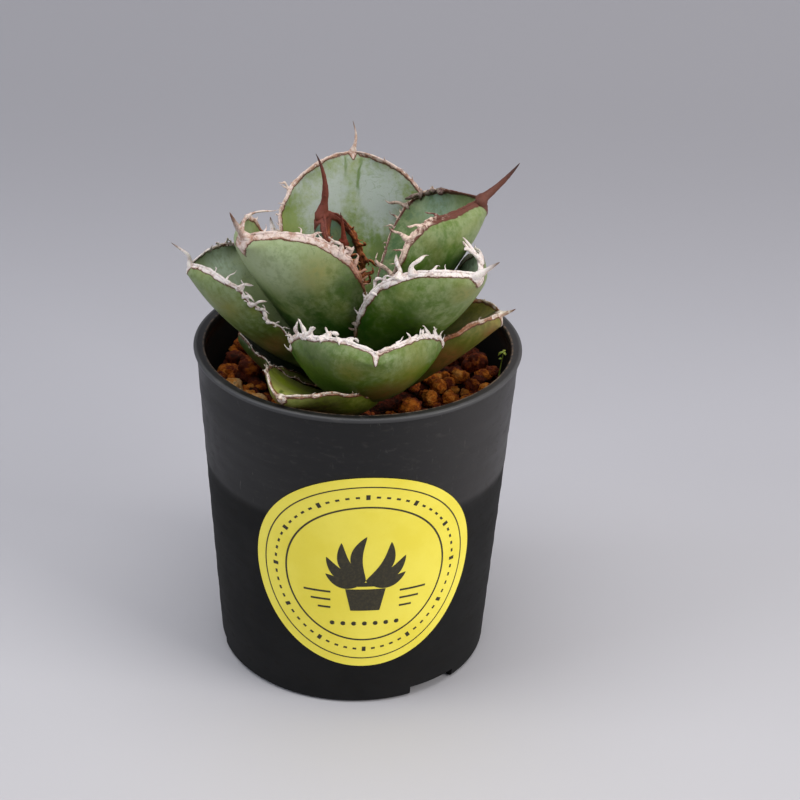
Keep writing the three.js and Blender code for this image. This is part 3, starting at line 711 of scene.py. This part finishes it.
def paint_flesh(paint, leaf, place, cloud, mottle, lines):
    """Deep green low down, partly painted shade, and a waxy bloom towards the tip, with blotches and fine
    wrinkles
    """
    tone = SKINS[leaf.skin]
    spot = paint.place(uv=True)
    inner = paint.value("inner")
    outer = paint.math("SUBTRACT", 1.0, inner)
    share = paint.value("share")
    rising = paint.add(share, paint.swing(cloud, 0.16))
    wax = paint.add(
        paint.swing(cloud, 0.2), paint.swing(mottle, 0.2), paint.swing(lines, 0.08),
        paint.between(share, 0.35, 0.95, -0.3, 0.32), paint.times(inner, leaf.inner_bloom), leaf.bloom)
    if leaf.skin == "bloom":
        by_margin = paint.between(paint.value("margin"), 2.0, 11.0, -0.5, 0.3)
        wax = paint.add(wax, by_margin, paint.between(share, 0.45, 0.85, -0.55, 0.2))
    paint.start(paint.between(rising, 0.35, 0.75), tone["deep"], tone["mid"])
    paint.coat(paint.between(wax, 0.0, 1.0), tone["pale"])
    paint.coat(paint.between(paint.noise(120, 3, 0.5, place), 0.5, 0.7, 0, 0.35), (128, 134, 70))
    paint.coat(paint.between(paint.noise(1500, 2, 0.5, place), 0.64, 0.74, 0, 0.2), (60, 70, 34))
    # Darker and browner towards the foot: partly the leaf's own colour, partly painted shade deep in the
    # rosette
    paint.coat(paint.between(rising, 0.42, 0.12, 0, 0.75), tone["low"])
    wrinkle = paint.between(paint.gap(paint.noise(150, 3, 0.5, place, 2.5), 0.5), 0.022, 0.0, 0, 0.35)
    paint.coat(paint.times(wrinkle, paint.between(cloud, 0.45, 0.6)), tone["deep"])

    # Some blotches are painted shade and the palest is painted light, as the tints tell
    for face, across, along, reach, tint in leaf.blotches:
        away = paint.node("VectorMath", {0: spot, 1: (across, along, 0)}, operation="DISTANCE")
        away = paint.add(
            away.outputs["Value"], paint.swing(mottle, 0.18 * reach), paint.swing(cloud, 0.2 * reach))
        patch = paint.times(paint.between(away, 1.2 * reach, 0.1 * reach), inner if face else outer)
        paint.coat(paint.times(patch, paint.between(mottle, 0.38, 0.62, 0.4, 0.95)), TINTS[tint])

    # Imprints left by the younger leaves: two dark lines beside the middle, near the tip
    aside = paint.add(paint.math("ABSOLUTE", paint.split(spot)["X"]), paint.swing(cloud, 1.1))
    crease = paint.times(
        paint.between(paint.gap(aside, 1.9), 0.9, 0.2), paint.between(rising, 0.8, 0.92),
        paint.between(share, 0.99, 0.965), inner, 0.85)
    paint.coat(crease, tone["deep"])


def paint_cork(paint, leaf, place, grime):
    """Pale, with warm patches that gather by the border, and dark specks"""
    cork = HORNS[leaf.horn]
    share = paint.value("share")
    patch = paint.noise(420, 5, 0.7, place, 0.8)
    warm = paint.add(
        paint.between(patch, 0.38, 0.66, -0.3, 0.5), cork["warmth"],
        paint.between(paint.value("margin"), -0.8, 0.0, 0, 0.45))
    if leaf.horn in ("young", "red", "orange"):
        warm = paint.add(warm, paint.between(share, 0.75, 0.97, 0, 0.9))
    paint.start(paint.between(warm, 0.1, 1.0), cork["pale"], cork["warm"])
    if leaf.tan_below:
        paint.coat(paint.between(share, leaf.tan_below, leaf.tan_below - 0.15, 0, 0.8), TAN)
    paint.coat(paint.between(grime, 0.56, 0.7, 0, 0.6), cork["dark"])
    paint.coat(paint.times(paint.value("tip"), 0.95), cork["dark"])


def leaf_material(name, leaf, seed):
    paint = Paint(name, Specular_IOR_Level=0.4, Subsurface_Weight=0.05, Subsurface_Scale=0.002)
    paint.feed(paint.shader.inputs["Subsurface Radius"], (0.5, 1.0, 0.3))
    drift = tuple(seed * k for k in (0.013, 0.007, 0.011))
    place = paint.node("Mapping", {"Vector": paint.place(), "Location": drift}).outputs["Vector"]
    cloud = paint.noise(70, 4, 0.55, place, 0.5)
    mottle = paint.noise(620, 6, 0.66, place, 0.2)
    grime = paint.noise(1300, 4, 0.65, place)
    fine = paint.noise(2600, 3, 0.6, place)
    lines = paint.noise(1.0, 4, 0.6, paint.place((0.5, 0.05, 1), uv=True))
    wobble = paint.add(paint.value("margin"), paint.swing(grime, 0.12))
    corky = paint.between(wobble, 0.1, -0.12)
    paint_cork(paint, leaf, place, grime)
    bark = paint.base
    paint_flesh(paint, leaf, place, cloud, mottle, lines)
    paint.coat(paint.between(wobble, 0.45, 0.15), BORDER)
    paint.base = paint.blend(corky, paint.base, bark)
    flesh_height = paint.add(mottle, paint.times(lines, 0.25), paint.times(fine, 0.35))
    paint.bump(paint.add(flesh_height, paint.times(corky, grime, 2.5)), 0.12, 0.6)
    return paint.finish(paint.add(paint.spread(mottle, 0.42, 0.54), paint.times(corky, 0.2)))


def make_leaves():
    for number, (name, leaf) in enumerate(LEAVES.items()):
        shape = Shape()
        add_blade(shape, leaf)
        for side in (-1, 1):
            add_rope(shape, leaf, side)
        add_teeth(shape, leaf, random.Random(number + 5))
        add_spine(shape, leaf)
        material = leaf_material(name, leaf, number)
        piece = shape.piece(name + "_skin", [material])
        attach(piece, "root")
        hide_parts(name)


# Pot: a turned shell with a narrow lip, faint ripples in its wall and three drain channels

def wall_radius(z):
    return mix(WALL_FOOT_RADIUS, WALL_TOP_RADIUS, z / POT_HEIGHT)


def arc(centre, radius, start, end, count):
    turn = np.radians(np.linspace(start, end, count))
    return [(centre[0] + radius * math.cos(a), centre[1] + radius * math.sin(a)) for a in turn]


def pot_profile():
    """Radius and height round the section of the wall, from the middle of the foot"""
    lip = POT_HEIGHT - 1.4
    outside = [(0.0, 0.0), (15.0, 0.0), (wall_radius(0) - 1.5, 0.0)]
    outside += arc((wall_radius(2) - 1.6, 1.6), 1.6, -80, 0, 6)
    outside += [(wall_radius(z), z) for z in np.arange(2.6, lip - 0.1, 1.3)]
    rim = [(wall_radius(lip), lip), (RIM_RADIUS - 0.25, lip + 0.15)]
    rim += arc((RIM_RADIUS - 0.5, POT_HEIGHT - 0.5), 0.5, 0, 90, 5)
    rim += [(RIM_RADIUS - 1.2, POT_HEIGHT), (MOUTH_RADIUS + 1.2, POT_HEIGHT - 0.1)]
    rim += arc((MOUTH_RADIUS + 0.45, POT_HEIGHT - 0.5), 0.45, 90, 180, 5)
    rim += [(MOUTH_RADIUS, lip - 0.6), (MOUTH_RADIUS + 0.25, lip - 1.6)]
    inside = [(wall_radius(z) - WALL_THICKNESS, z) for z in np.arange(88, 4, -6.0)]
    inside += [(wall_radius(2) - WALL_THICKNESS - 2, FLOOR_THICKNESS), (0.0, FLOOR_THICKNESS)]
    return outside + rim + inside


def ripple(radius, z, azimuth):
    """Faint moulding waves of the outer wall"""
    outside = np.abs(radius - wall_radius(z)) < 0.3
    strength = 0.045 * outside * smooth(3, 12, z) * smooth(91, 86, z)
    wave = np.sin(z * 0.62 + 1.1 * np.sin(azimuth * 2 + 0.5)) + 0.7 * np.sin(z * 1.37 + azimuth * 3)
    return strength * wave


def turned(profile, segments):
    """A closed turned body with the waves of the wall. The profile starts and ends on the axis."""
    azimuth = around(segments)
    rings = [level(r + ripple(r, z, azimuth), azimuth, z) for r, z in profile[1:-1]]
    return closed(rings, (0, 0, profile[0][1]), (0, 0, profile[-1][1]))


def box_object(size, centre, azimuth):
    """A box on the +X axis, then turned about the pot's axis"""
    bpy.ops.mesh.primitive_cube_add(size=1)
    made = bpy.context.object
    turn = Matrix.Rotation(math.radians(azimuth), 4, "Z")
    made.data.transform(turn @ Matrix.Translation(Vector(centre) * MM) @ Matrix.Diagonal(
        (size[0] * MM, size[1] * MM, size[2] * MM, 1)))
    return made


def join_or_cut(piece, other, operation):
    step = piece.modifiers.new("cut", "BOOLEAN")
    step.operation = operation
    step.solver = "EXACT"
    step.object = other
    bpy.context.view_layer.objects.active = piece
    bpy.ops.object.modifier_apply(modifier=step.name)
    bpy.data.objects.remove(other)


def pot_material():
    """Black plastic, dusty: painted shade at the foot and inside, a painted sheen to the right, chipped
    round the mouth
    """
    paint = Paint("black_plastic", Specular_IOR_Level=0.35)
    place = paint.place()
    parts = paint.split(place)
    x, y, z = parts["X"], parts["Y"], parts["Z"]
    flat = paint.node("CombineXYZ", {"X": x, "Y": y}).outputs["Vector"]
    radius = paint.node("VectorMath", {0: flat}, operation="LENGTH").outputs["Value"]
    cloud = paint.noise(45, 4, 0.6, place, 0.5)
    dust = paint.noise(260, 5, 0.65, paint.place((1, 1, 2.5)), 0.3)
    scuff = paint.noise(900, 4, 0.7, paint.place((1, 1, 0.25)))
    paint.start(paint.between(cloud, 0.35, 0.65), (10, 10, 12), (14, 14, 15))
    # Painted shade: darker towards the foot
    paint.coat(paint.between(z, 70 * MM, 0.0, 0, 0.9), (3, 3, 4))
    # Painted sheen: lighter towards the right
    paint.coat(paint.between(x, 0.0, 42 * MM, 0, 0.55), (56, 53, 52))
    paint.coat(paint.between(dust, 0.52, 0.78, 0, 0.2), (96, 92, 88))
    paint.coat(paint.between(scuff, 0.62, 0.78, 0, 0.2), (120, 116, 110))

    high = paint.between(z, (POT_HEIGHT - 1.5) * MM, (POT_HEIGHT - 0.7) * MM)
    mouth = paint.between(radius, (MOUTH_RADIUS + 0.75) * MM, (MOUTH_RADIUS + 0.35) * MM)
    chips = paint.between(paint.noise(520, 5, 0.75, place), 0.42, 0.56)
    right = paint.between(x, -30 * MM, 20 * MM, 0.35, 1)
    paint.coat(paint.times(high, mouth, chips, right, 0.8), (132, 108, 84))
    # Painted highlight: a light grey line on the rounded outer edge of the rim
    edge = paint.between(radius, (RIM_RADIUS - 1.2) * MM, (RIM_RADIUS - 0.5) * MM)
    paint.coat(paint.times(high, edge, 0.22), (120, 120, 122))
    # Painted shade: the inside of the mouth near black, with dust over it
    inside = paint.between(radius, (MOUTH_RADIUS + 0.3) * MM, (MOUTH_RADIUS - 0.1) * MM)
    paint.coat(paint.times(inside, 0.9), (4, 4, 5))
    paint.coat(paint.times(inside, paint.between(dust, 0.5, 0.62, 0, 0.5)), (18, 15, 12))

    waves = paint.noise(1.0, 3, 0.5, paint.place((40, 40, 260)))
    grain = paint.noise(3000, 2, 0.5, place)
    paint.bump(paint.add(paint.times(waves, 1.5), paint.times(grain, 0.12)), 0.12, 0.5)
    return paint.finish(paint.add(
        paint.spread(cloud, 0.42, 0.54), paint.between(dust, 0.5, 0.75, 0, 0.15),
        paint.times(inside, 0.4)))


def make_pot():
    """The shell, with a raised roof over each channel, then the channels and their slots"""
    shape = Shape()
    shape.add(*turned(pot_profile(), 200))
    material = pot_material()
    pot = shape.piece("pot_shell", [material])
    roof = CHANNEL_HEIGHT + FLOOR_THICKNESS
    half = CHANNEL_WIDTH / 2 + FLOOR_THICKNESS
    cut = 34
    for angle in CHANNEL_ANGLES:
        reach = math.sqrt((wall_radius(2) - 0.9) ** 2 - half ** 2) - CHANNEL_START
        size = (reach, 2 * half, roof - 0.4)
        centre = (CHANNEL_START + reach / 2, 0, 0.4 + size[2] / 2)
        join_or_cut(pot, box_object(size, centre, angle), "UNION")
    for angle in CHANNEL_ANGLES:
        size = (cut, CHANNEL_WIDTH, 2 * CHANNEL_HEIGHT)
        centre = (CHANNEL_START + FLOOR_THICKNESS + cut / 2, 0, 0)
        join_or_cut(pot, box_object(size, centre, angle), "DIFFERENCE")
        join_or_cut(pot, box_object(SLOT_SIZE, (SLOT_REACH, 0, roof), angle), "DIFFERENCE")
    pot.data.materials.clear()
    pot.data.materials.append(material)
    pot.data.polygons.foreach_set("use_smooth", [True] * len(pot.data.polygons))
    pot.data.set_sharp_from_angle(angle=math.radians(35))
    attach(pot, "root")
    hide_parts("pot")


# Sticker: a round paper label that follows the wall, with a plain printed pattern

PAPER_FOOT = 0.05
PAPER_LIFT = 0.3
INK_FOOT = 0.25
INK_LIFT = 0.34


def on_wall(across, up, lift):
    """A point of the label, from its distance across and up from the label's middle"""
    z = STICKER_HEIGHT + up
    azimuth = math.radians(STICKER_AZIMUTH) + across / wall_radius(STICKER_HEIGHT)
    return level(wall_radius(z) + lift, azimuth, z)


def add_ink(shape, path, widths):
    """A printed stroke along a flat path on the label, bent with the wall across its width"""
    path = np.asarray(path, float)
    widths = np.broadcast_to(widths, len(path))
    ahead = unit(np.gradient(path, axis=0))
    aside = np.stack([-ahead[:, 1], ahead[:, 0]], axis=-1) * widths[:, None] / 2
    columns = 2 + int(np.max(widths) / 0.8)
    spread = np.linspace(-1, 1, columns)
    section = [(side, INK_FOOT) for side in spread] + [(side, INK_LIFT) for side in spread[::-1]]
    lines = [on_wall(*(path + aside * side).T, lift) for side, lift in section]
    rings = np.stack(lines, axis=1)
    shape.add(*closed(rings, rings[0].mean(axis=0), rings[-1].mean(axis=0)), slot=1)


def add_circle(shape, centre, radius, width, steps):
    add_ink(shape, arc(centre, radius, 0, 360, steps), width)


def add_line(shape, a, b, widths):
    add_ink(shape, np.linspace(a, b, 40), widths)


def add_leaf_print(shape, foot, angle, length, width):
    """A solid leaf: a stroke that swells in the middle and ends in points"""
    s = np.linspace(0, 1, 30)
    turn = math.radians(angle)
    bend = 0.18 * length * np.sin(s * math.pi) * (1 if angle < 90 else -1)
    x = foot[0] + s * length * math.cos(turn) + bend * math.sin(turn)
    y = foot[1] + s * length * math.sin(turn) - bend * math.cos(turn)
    add_ink(shape, np.stack([x, y], axis=-1), 0.05 + width * np.sin(s * math.pi) ** 0.8)


def sticker_print(shape):
    """A ring of ticks between two lines, and a large rosette in a small pot over a row of dots"""
    middle = (0, 0)
    add_circle(shape, middle, 28.4, 0.35, 200)
    for k in range(60):
        add_ink(shape, arc(middle, 25.2, k * 6 - 1.2, k * 6 + 1.2, 5), 1.5 if k % 5 == 0 else 0.6)
    add_circle(shape, middle, 22.0, 0.5, 200)
    for angle, length in ((90, 14.5), (62, 14), (118, 14), (35, 13), (145, 13), (10, 11), (170, 11)):
        add_leaf_print(shape, (0, -2.0), angle, length, 3.2)
    add_line(shape, (0, -12), (0, -4.8), np.linspace(8, 11, 40))
    add_line(shape, (-6.8, -3.2), (6.8, -3.2), 1.4)
    for side in (-1, 1):
        for k in range(3):
            up = -6 - 2.6 * k
            add_line(shape, (side * 9.5, up), (side * (17 - 2 * k), up), 0.6)
    for k in range(-3, 4):
        add_circle(shape, (k * 3.0, -16.4), 0.35, 0.7, 12)


def paper_material():
    paint = Paint("yellow_label", Specular_IOR_Level=0.4)
    cloud = paint.noise(60, 4, 0.6)
    fibre = paint.noise(2200, 3, 0.6)
    creases = paint.noise(1.0, 3, 0.6, paint.place((14, 14, 130)), 0.4)
    paint.start(paint.between(cloud, 0.35, 0.65), (244, 226, 72), (250, 234, 88))
    paint.coat(paint.between(fibre, 0.55, 0.75, 0, 0.12), (214, 196, 64))
    paint.bump(paint.add(paint.times(creases, 2.0), paint.times(fibre, 0.1)), 0.12, 0.5)
    return paint.finish(paint.spread(cloud, 0.36, 0.46))


def ink_material():
    paint = Paint("dark_ink", Specular_IOR_Level=0.4)
    flecks = paint.noise(1400, 3, 0.6)
    paint.start(paint.between(flecks, 0.4, 0.7), (44, 40, 26), (62, 56, 34))
    paint.bump(flecks, 0.02, 0.5)
    return paint.finish(paint.spread(flecks, 0.4, 0.5))


def make_sticker():
    turn = around(120)
    reaches = STICKER_RADIUS * np.linspace(0.04, 1, 26)
    section = [(reach, PAPER_FOOT) for reach in reaches]
    section += [(reach, PAPER_LIFT) for reach in reaches[::-1]]
    rings = [on_wall(reach * np.cos(turn), reach * np.sin(turn), lift) for reach, lift in section]
    shape = Shape()
    shape.add(*closed(rings, on_wall(0, 0, PAPER_FOOT), on_wall(0, 0, PAPER_LIFT)))
    sticker_print(shape)
    piece = shape.piece("sticker_paper", [paper_material(), ink_material()], sharp=40)
    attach(piece, "root")
    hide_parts("sticker")


# Grains and soil: rough baked-clay lumps, loose ones on a bed of smaller ones

def ico_points(levels):
    bpy.ops.mesh.primitive_ico_sphere_add(subdivisions=levels, radius=1)
    made = bpy.context.object
    points = np.array([v.co for v in made.data.vertices])
    faces = [tuple(p.vertices) for p in made.data.polygons]
    bpy.data.objects.remove(made)
    return points, faces


def lump(sphere, size, seed):
    """A rough lump: a ball swollen and pitted by noise, stretched to the size"""
    big = bumps(sphere, 1.1, seed, 2)
    small = bumps(sphere, 0.33, seed + 0.5, 3)
    pits = np.minimum(bumps(sphere, 0.5, seed + 0.9, 2), 0)
    swell = 1 + 0.24 * big + 0.16 * small + 0.2 * pits
    points = sphere * swell[:, None]
    span = np.ptp(points, axis=0) / 2
    middle = (points.max(axis=0) + points.min(axis=0)) / 2
    return (points - middle) / span * size


def grain_material():
    paint = Paint("baked_clay", Specular_IOR_Level=0.3)
    specks = paint.noise(1400, 4, 0.7)
    patch = paint.noise(330, 4, 0.65, None, 0.5)
    ramp = paint.node("ValToRGB", {"Fac": paint.add(paint.value("tone"), paint.swing(patch, 0.22))})
    stops = ((0.0, (34, 14, 8)), (0.3, (118, 46, 20)), (0.55, (206, 112, 26)),
             (0.78, (230, 150, 62)), (1.0, (242, 196, 134)))
    for k, (place, shade) in enumerate(stops):
        stop = ramp.color_ramp.elements[k] if k < 2 else ramp.color_ramp.elements.new(place)
        stop.position = place
        stop.color = colour(*shade)
    paint.base = ramp.outputs["Color"]
    paint.coat(paint.between(specks, 0.54, 0.7, 0, 0.6), (52, 22, 8))
    paint.coat(paint.between(specks, 0.4, 0.28, 0, 0.35), (206, 160, 108))
    paint.bump(paint.add(specks, paint.times(paint.noise(2400, 4, 0.7), 0.6)), 0.6, 1.0)
    return paint.finish(paint.spread(specks, 0.82, 0.97))


# Tones of the grains that the photograph shows, in the order of their names
SEEN_TONES = (
    0.52, 0.6, 0.3, 0.42, 0.36, 0.82, 0.75, 0.62, 0.3, 0.58, 0.6, 0.55, 0.66, 0.42, 0.28, 0.2, 0.3,
    0.3, 0.5,
)


def make_grains(material):
    sphere, faces = ico_points(4)
    chance = random.Random(3)
    names = sorted(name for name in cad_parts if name.startswith("grain_"))
    for number, name in enumerate(names):
        low, high = (np.array(corner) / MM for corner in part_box(name))
        tone = SEEN_TONES[number] if number < len(SEEN_TONES) else chance.uniform(0.2, 0.75)
        shape = Shape()
        shape.add(lump(sphere, (high - low) * 0.54, number) + (low + high) / 2, faces, tone=tone)
        piece = shape.piece(name + "_lump", [material])
        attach(piece, "root")
        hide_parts(name)


SMALL_GRAINS = 400

# Larger loose lumps heaped beside the wall: azimuth, reach, size, lift and tone. Several lumps on the
# left, at azimuths 143 to 213, have tones lowered partly as painted shade.
BESIDE_WALL = (
    (186, 34.5, 3.3, 1, 0.95), (174, 31, 3.6, 1, 0.26), (203, 29, 2.8, 1, 0.9),
    (196, 35, 2.4, 0.6, 0.4), (160, 37, 2.9, 1.6, 0.24), (151, 37.5, 2.8, 3, 0.36),
    (143, 36.5, 2.4, 1, 0.4), (168, 35.5, 2.6, 0.5, 0.28), (213, 34, 2.6, 0.3, 0.4),
    (358, 35.5, 2.4, 0.8, 0.6), (12, 36, 2.6, 0.6, 0.5), (20, 34, 2.8, 1, 0.3),
    (346, 31.5, 2.4, 0.6, 0.5), (330, 27.5, 2.4, 0.4, 0.35), (318, 24, 2.4, 0.4, 0.3),
    (335, 33.5, 2.5, 0.4, 0.55), (3, 25, 2.6, 0.6, 0.4), (16, 28.5, 2.5, 0.6, 0.35),
)


def strew(shape, ball, chance, azimuth, reach, size, lift, number, tone):
    """One small lump on the bed, turned and squeezed by chance"""
    sphere, faces = ball
    spin = chance.uniform(0, 2 * math.pi)
    size = size * np.array([1, chance.uniform(0.75, 1.1), chance.uniform(0.65, 0.9)])
    spot = (reach * math.cos(azimuth), reach * math.sin(azimuth), SOIL_TOP + lift + 0.4 * size[2])
    cos, sin = math.cos(spin), math.sin(spin)
    grain = lump(sphere, size, number) @ np.array([[cos, sin, 0], [-sin, cos, 0], [0, 0, 1]])
    shape.add(grain + spot, faces, tone=tone)


def make_soil(material):
    """A dark lumpy bed, partly painted shade in the gaps between grains, closed below, with small grains
    strewn over it
    """
    azimuth = around(160)
    gap = WALL_THICKNESS + 0.5
    edge = wall_radius(SOIL_TOP) - gap
    foot = CHANNEL_HEIGHT + FLOOR_THICKNESS + 0.4
    surface = SOIL_TOP - 0.3
    rings = [level(wall_radius(z) - gap, azimuth, z) for z in (foot, 30.0, 60.0)]
    for radius in np.linspace(edge, 0.5, 60):
        ring = level(radius, azimuth, 0)
        ring[:, 2] = surface + 0.9 * bumps(ring, 3.2, 2, 3) * smooth(edge + 0.1, edge - 2, radius)
        rings.append(ring)
    shape = Shape()
    # The bed's dark tone is partly painted shade for the gaps between the grains
    shape.add(*closed(rings, (0, 0, foot), (0, 0, surface)), tone=0.12)
    chance = random.Random(11)
    ball = ico_points(3)
    for number in range(SMALL_GRAINS):
        reach = math.sqrt(chance.uniform(15 ** 2, (edge - 1.6) ** 2))
        size = chance.uniform(0.9, 2.3)
        reach = min(reach, edge - size - 0.3)
        tone = chance.choice((0.1, 0.2, 0.3, 0.3, 0.4, 0.5, 0.6))
        turn = chance.uniform(0, 2 * math.pi)
        strew(shape, ball, chance, turn, reach, size, 0.2, number + 60, tone)
    for number, (turn, reach, size, lift, tone) in enumerate(BESIDE_WALL):
        strew(shape, ball, chance, math.radians(turn), reach, size, lift, number + 500, tone)
    piece = shape.piece("soil_bed", [material])
    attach(piece, "root")
    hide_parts("soil")


# Seedling and stem. A sprout's leaf is its azimuth, rise, length and place up the stalk.

SPROUT_LEAVES = ((200, 12, 2.0, 1.0), (80, 25, 1.5, 1.0), (300, 30, 1.2, 0.97), (150, 40, 1.1, 0.8))


def sprout_material():
    paint = Paint("sprout", Specular_IOR_Level=0.4, Subsurface_Weight=0.1, Subsurface_Scale=0.001)
    cloud = paint.noise(700, 3, 0.6)
    paint.start(paint.between(cloud, 0.35, 0.65), (112, 138, 44), (178, 192, 84))
    paint.bump(cloud, 0.05, 0.5)
    return paint.finish(paint.spread(cloud, 0.45, 0.6))


def make_seedling():
    low, high = (np.array(corner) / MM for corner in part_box("seedling"))
    foot = heading(3, 0) * 39.3 + [0, 0, low[2]]
    height = high[2] - low[2] - 0.6

    def stalk(way):
        return foot + np.stack([1.1 * way ** 2, 0.3 * way, height * way], axis=-1)

    shape = Shape()
    way = np.linspace(0, 1, 14)
    add_tube(shape, stalk(way), 0.26 - 0.1 * way, 0.26 - 0.1 * way, (1, 0, 0))
    s = np.linspace(0, 1, 12)
    width = 0.08 + 0.42 * np.sin(s * np.pi) ** 0.8
    for azimuth, rise, length, place in SPROUT_LEAVES:
        path = stalk(place) + heading(azimuth + 0 * s, rise - 45 * s) * (s * length)[:, None]
        add_tube(shape, path, width, 0.4 * width, heading(azimuth + 90, 0))
    piece = shape.piece("seedling_sprout", [sprout_material()])
    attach(piece, "root")
    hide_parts("seedling")


def paint_stem():
    """Pale fibre, greener where the leaves grow from it"""
    paint = Paint("stem_bark", Specular_IOR_Level=0.3)
    cloud = paint.noise(240, 4, 0.6, paint.place((1, 1, 3)))
    height = paint.split(paint.place())["Z"]
    paint.start(paint.between(cloud, 0.35, 0.65), (150, 136, 98), (196, 184, 140))
    paint.coat(paint.between(height, (SOIL_TOP + 1) * MM, (SOIL_TOP + 11) * MM, 0, 0.9), (92, 108, 58))
    paint.bump(cloud, 0.3, 0.6)
    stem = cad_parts["stem_and_roots"]
    stem.data.materials.clear()
    stem.data.materials.append(paint.finish(paint.spread(cloud, 0.7, 0.9)))


# Studio: a pale floor that sweeps up behind, soft lights and the camera

def floor_material():
    """Pale grey paper with painted shade, which grows darker with the distance and up the sweep"""
    paint = Paint("paper_sweep", Specular_IOR_Level=0.15)
    place = paint.place()
    parts = paint.split(place)
    distance = paint.add(parts["Y"], parts["Z"])
    cloud = paint.noise(3, 3, 0.5, place)
    patches = paint.spread(cloud, 0, 1)
    near = paint.blend(patches, colour(179, 178, 181), colour(184, 182, 185))
    far = paint.blend(patches, colour(172, 171, 178), colour(176, 175, 181))
    # Painted shade: darker with the distance from the front and up the sweep
    paint.base = paint.blend(paint.between(distance, -150 * MM, 300 * MM), near, far)
    paint.coat(paint.between(distance, 30 * MM, 360 * MM), (138, 137, 142))
    return paint.finish(paint.spread(cloud, 0.75, 0.85))


def make_floor():
    """A wide sheet of paper whose side view is a line, a quarter turn and a line"""
    bend = 320
    back = 420
    front = -1600
    top = 1400
    reach = 1500
    curve = [(front, 0), (-600, 0), (-100, 0), (back - bend, 0)]
    curve += [(y, z + bend) for y, z in arc((back - bend, 0), bend, -88, 0, 24)]
    curve += [(back, top)]
    sides = np.linspace(-reach, reach, 9)
    points = [[(x, y, z - 0.05) for x in sides] for y, z in curve]
    count = len(sides)
    faces = []
    for a in range(0, (len(curve) - 1) * count, count):
        faces += [(a + j, a + j + 1, a + j + count + 1, a + j + count) for j in range(count - 1)]
    shape = Shape()
    shape.add(points, faces)
    shape.piece("floor_sweep", [floor_material()])


def add_light(name, place, aim, size, power, tint):
    data = bpy.data.lights.new(name, "AREA")
    data.shape = "RECTANGLE"
    data.size = size[0]
    data.size_y = size[1]
    data.energy = power
    data.color = tint
    light = bpy.data.objects.new(name, data)
    light.location = place
    light.rotation_euler = (Vector(aim) - Vector(place)).to_track_quat("-Z", "Y").to_euler()
    bpy.context.scene.collection.objects.link(light)


def make_lights():
    """A soft sky and three panels, with places and sizes in metres"""
    world = bpy.context.scene.world or bpy.data.worlds.new("world")
    bpy.context.scene.world = world
    world.use_nodes = True
    backdrop = world.node_tree.nodes["Background"]
    backdrop.inputs["Color"].default_value = (0.86, 0.9, 1.0, 1)
    backdrop.inputs["Strength"].default_value = 0.28
    middle = (0, 0, 0.08)
    add_light("top", (-0.05, -0.05, 0.95), middle, (0.9, 0.9), 7.2, (1.0, 0.99, 0.98))
    add_light("right", (0.85, -0.45, 0.55), middle, (0.6, 0.6), 8.6, (1.0, 0.98, 0.95))
    add_light("left", (-0.9, -0.25, 0.6), middle, (0.6, 0.6), 4.2, (0.86, 0.92, 1.0))


# Camera: where the photograph was taken from, worked out from the rim and the foot
CAMERA_PLACE = (0, -480.3, 333.8)
CAMERA_YAW = 1.43
CAMERA_PITCH = 28.23
CAMERA_ROLL = 1.87
CAMERA_LENS = 88.0


def make_camera():
    data = bpy.data.cameras.new("camera")
    data.lens = CAMERA_LENS
    data.sensor_width = 36
    data.clip_start = 0.01
    camera = bpy.data.objects.new("camera", data)
    view = Matrix.Translation(Vector(CAMERA_PLACE) * MM)
    for angle, axis in ((-CAMERA_YAW, "Z"), (90 - CAMERA_PITCH, "X"), (CAMERA_ROLL, "Z")):
        view = view @ Matrix.Rotation(math.radians(angle), 4, axis)
    camera.matrix_world = view
    bpy.context.scene.collection.objects.link(camera)
    bpy.context.scene.camera = camera


make_leaves()
make_pot()
make_sticker()
clay = grain_material()
make_grains(clay)
make_soil(clay)
make_seedling()
paint_stem()
make_floor()
make_lights()
make_camera()
bpy.context.scene.view_settings.view_transform = "Standard"

bpy.context.view_layer.update()
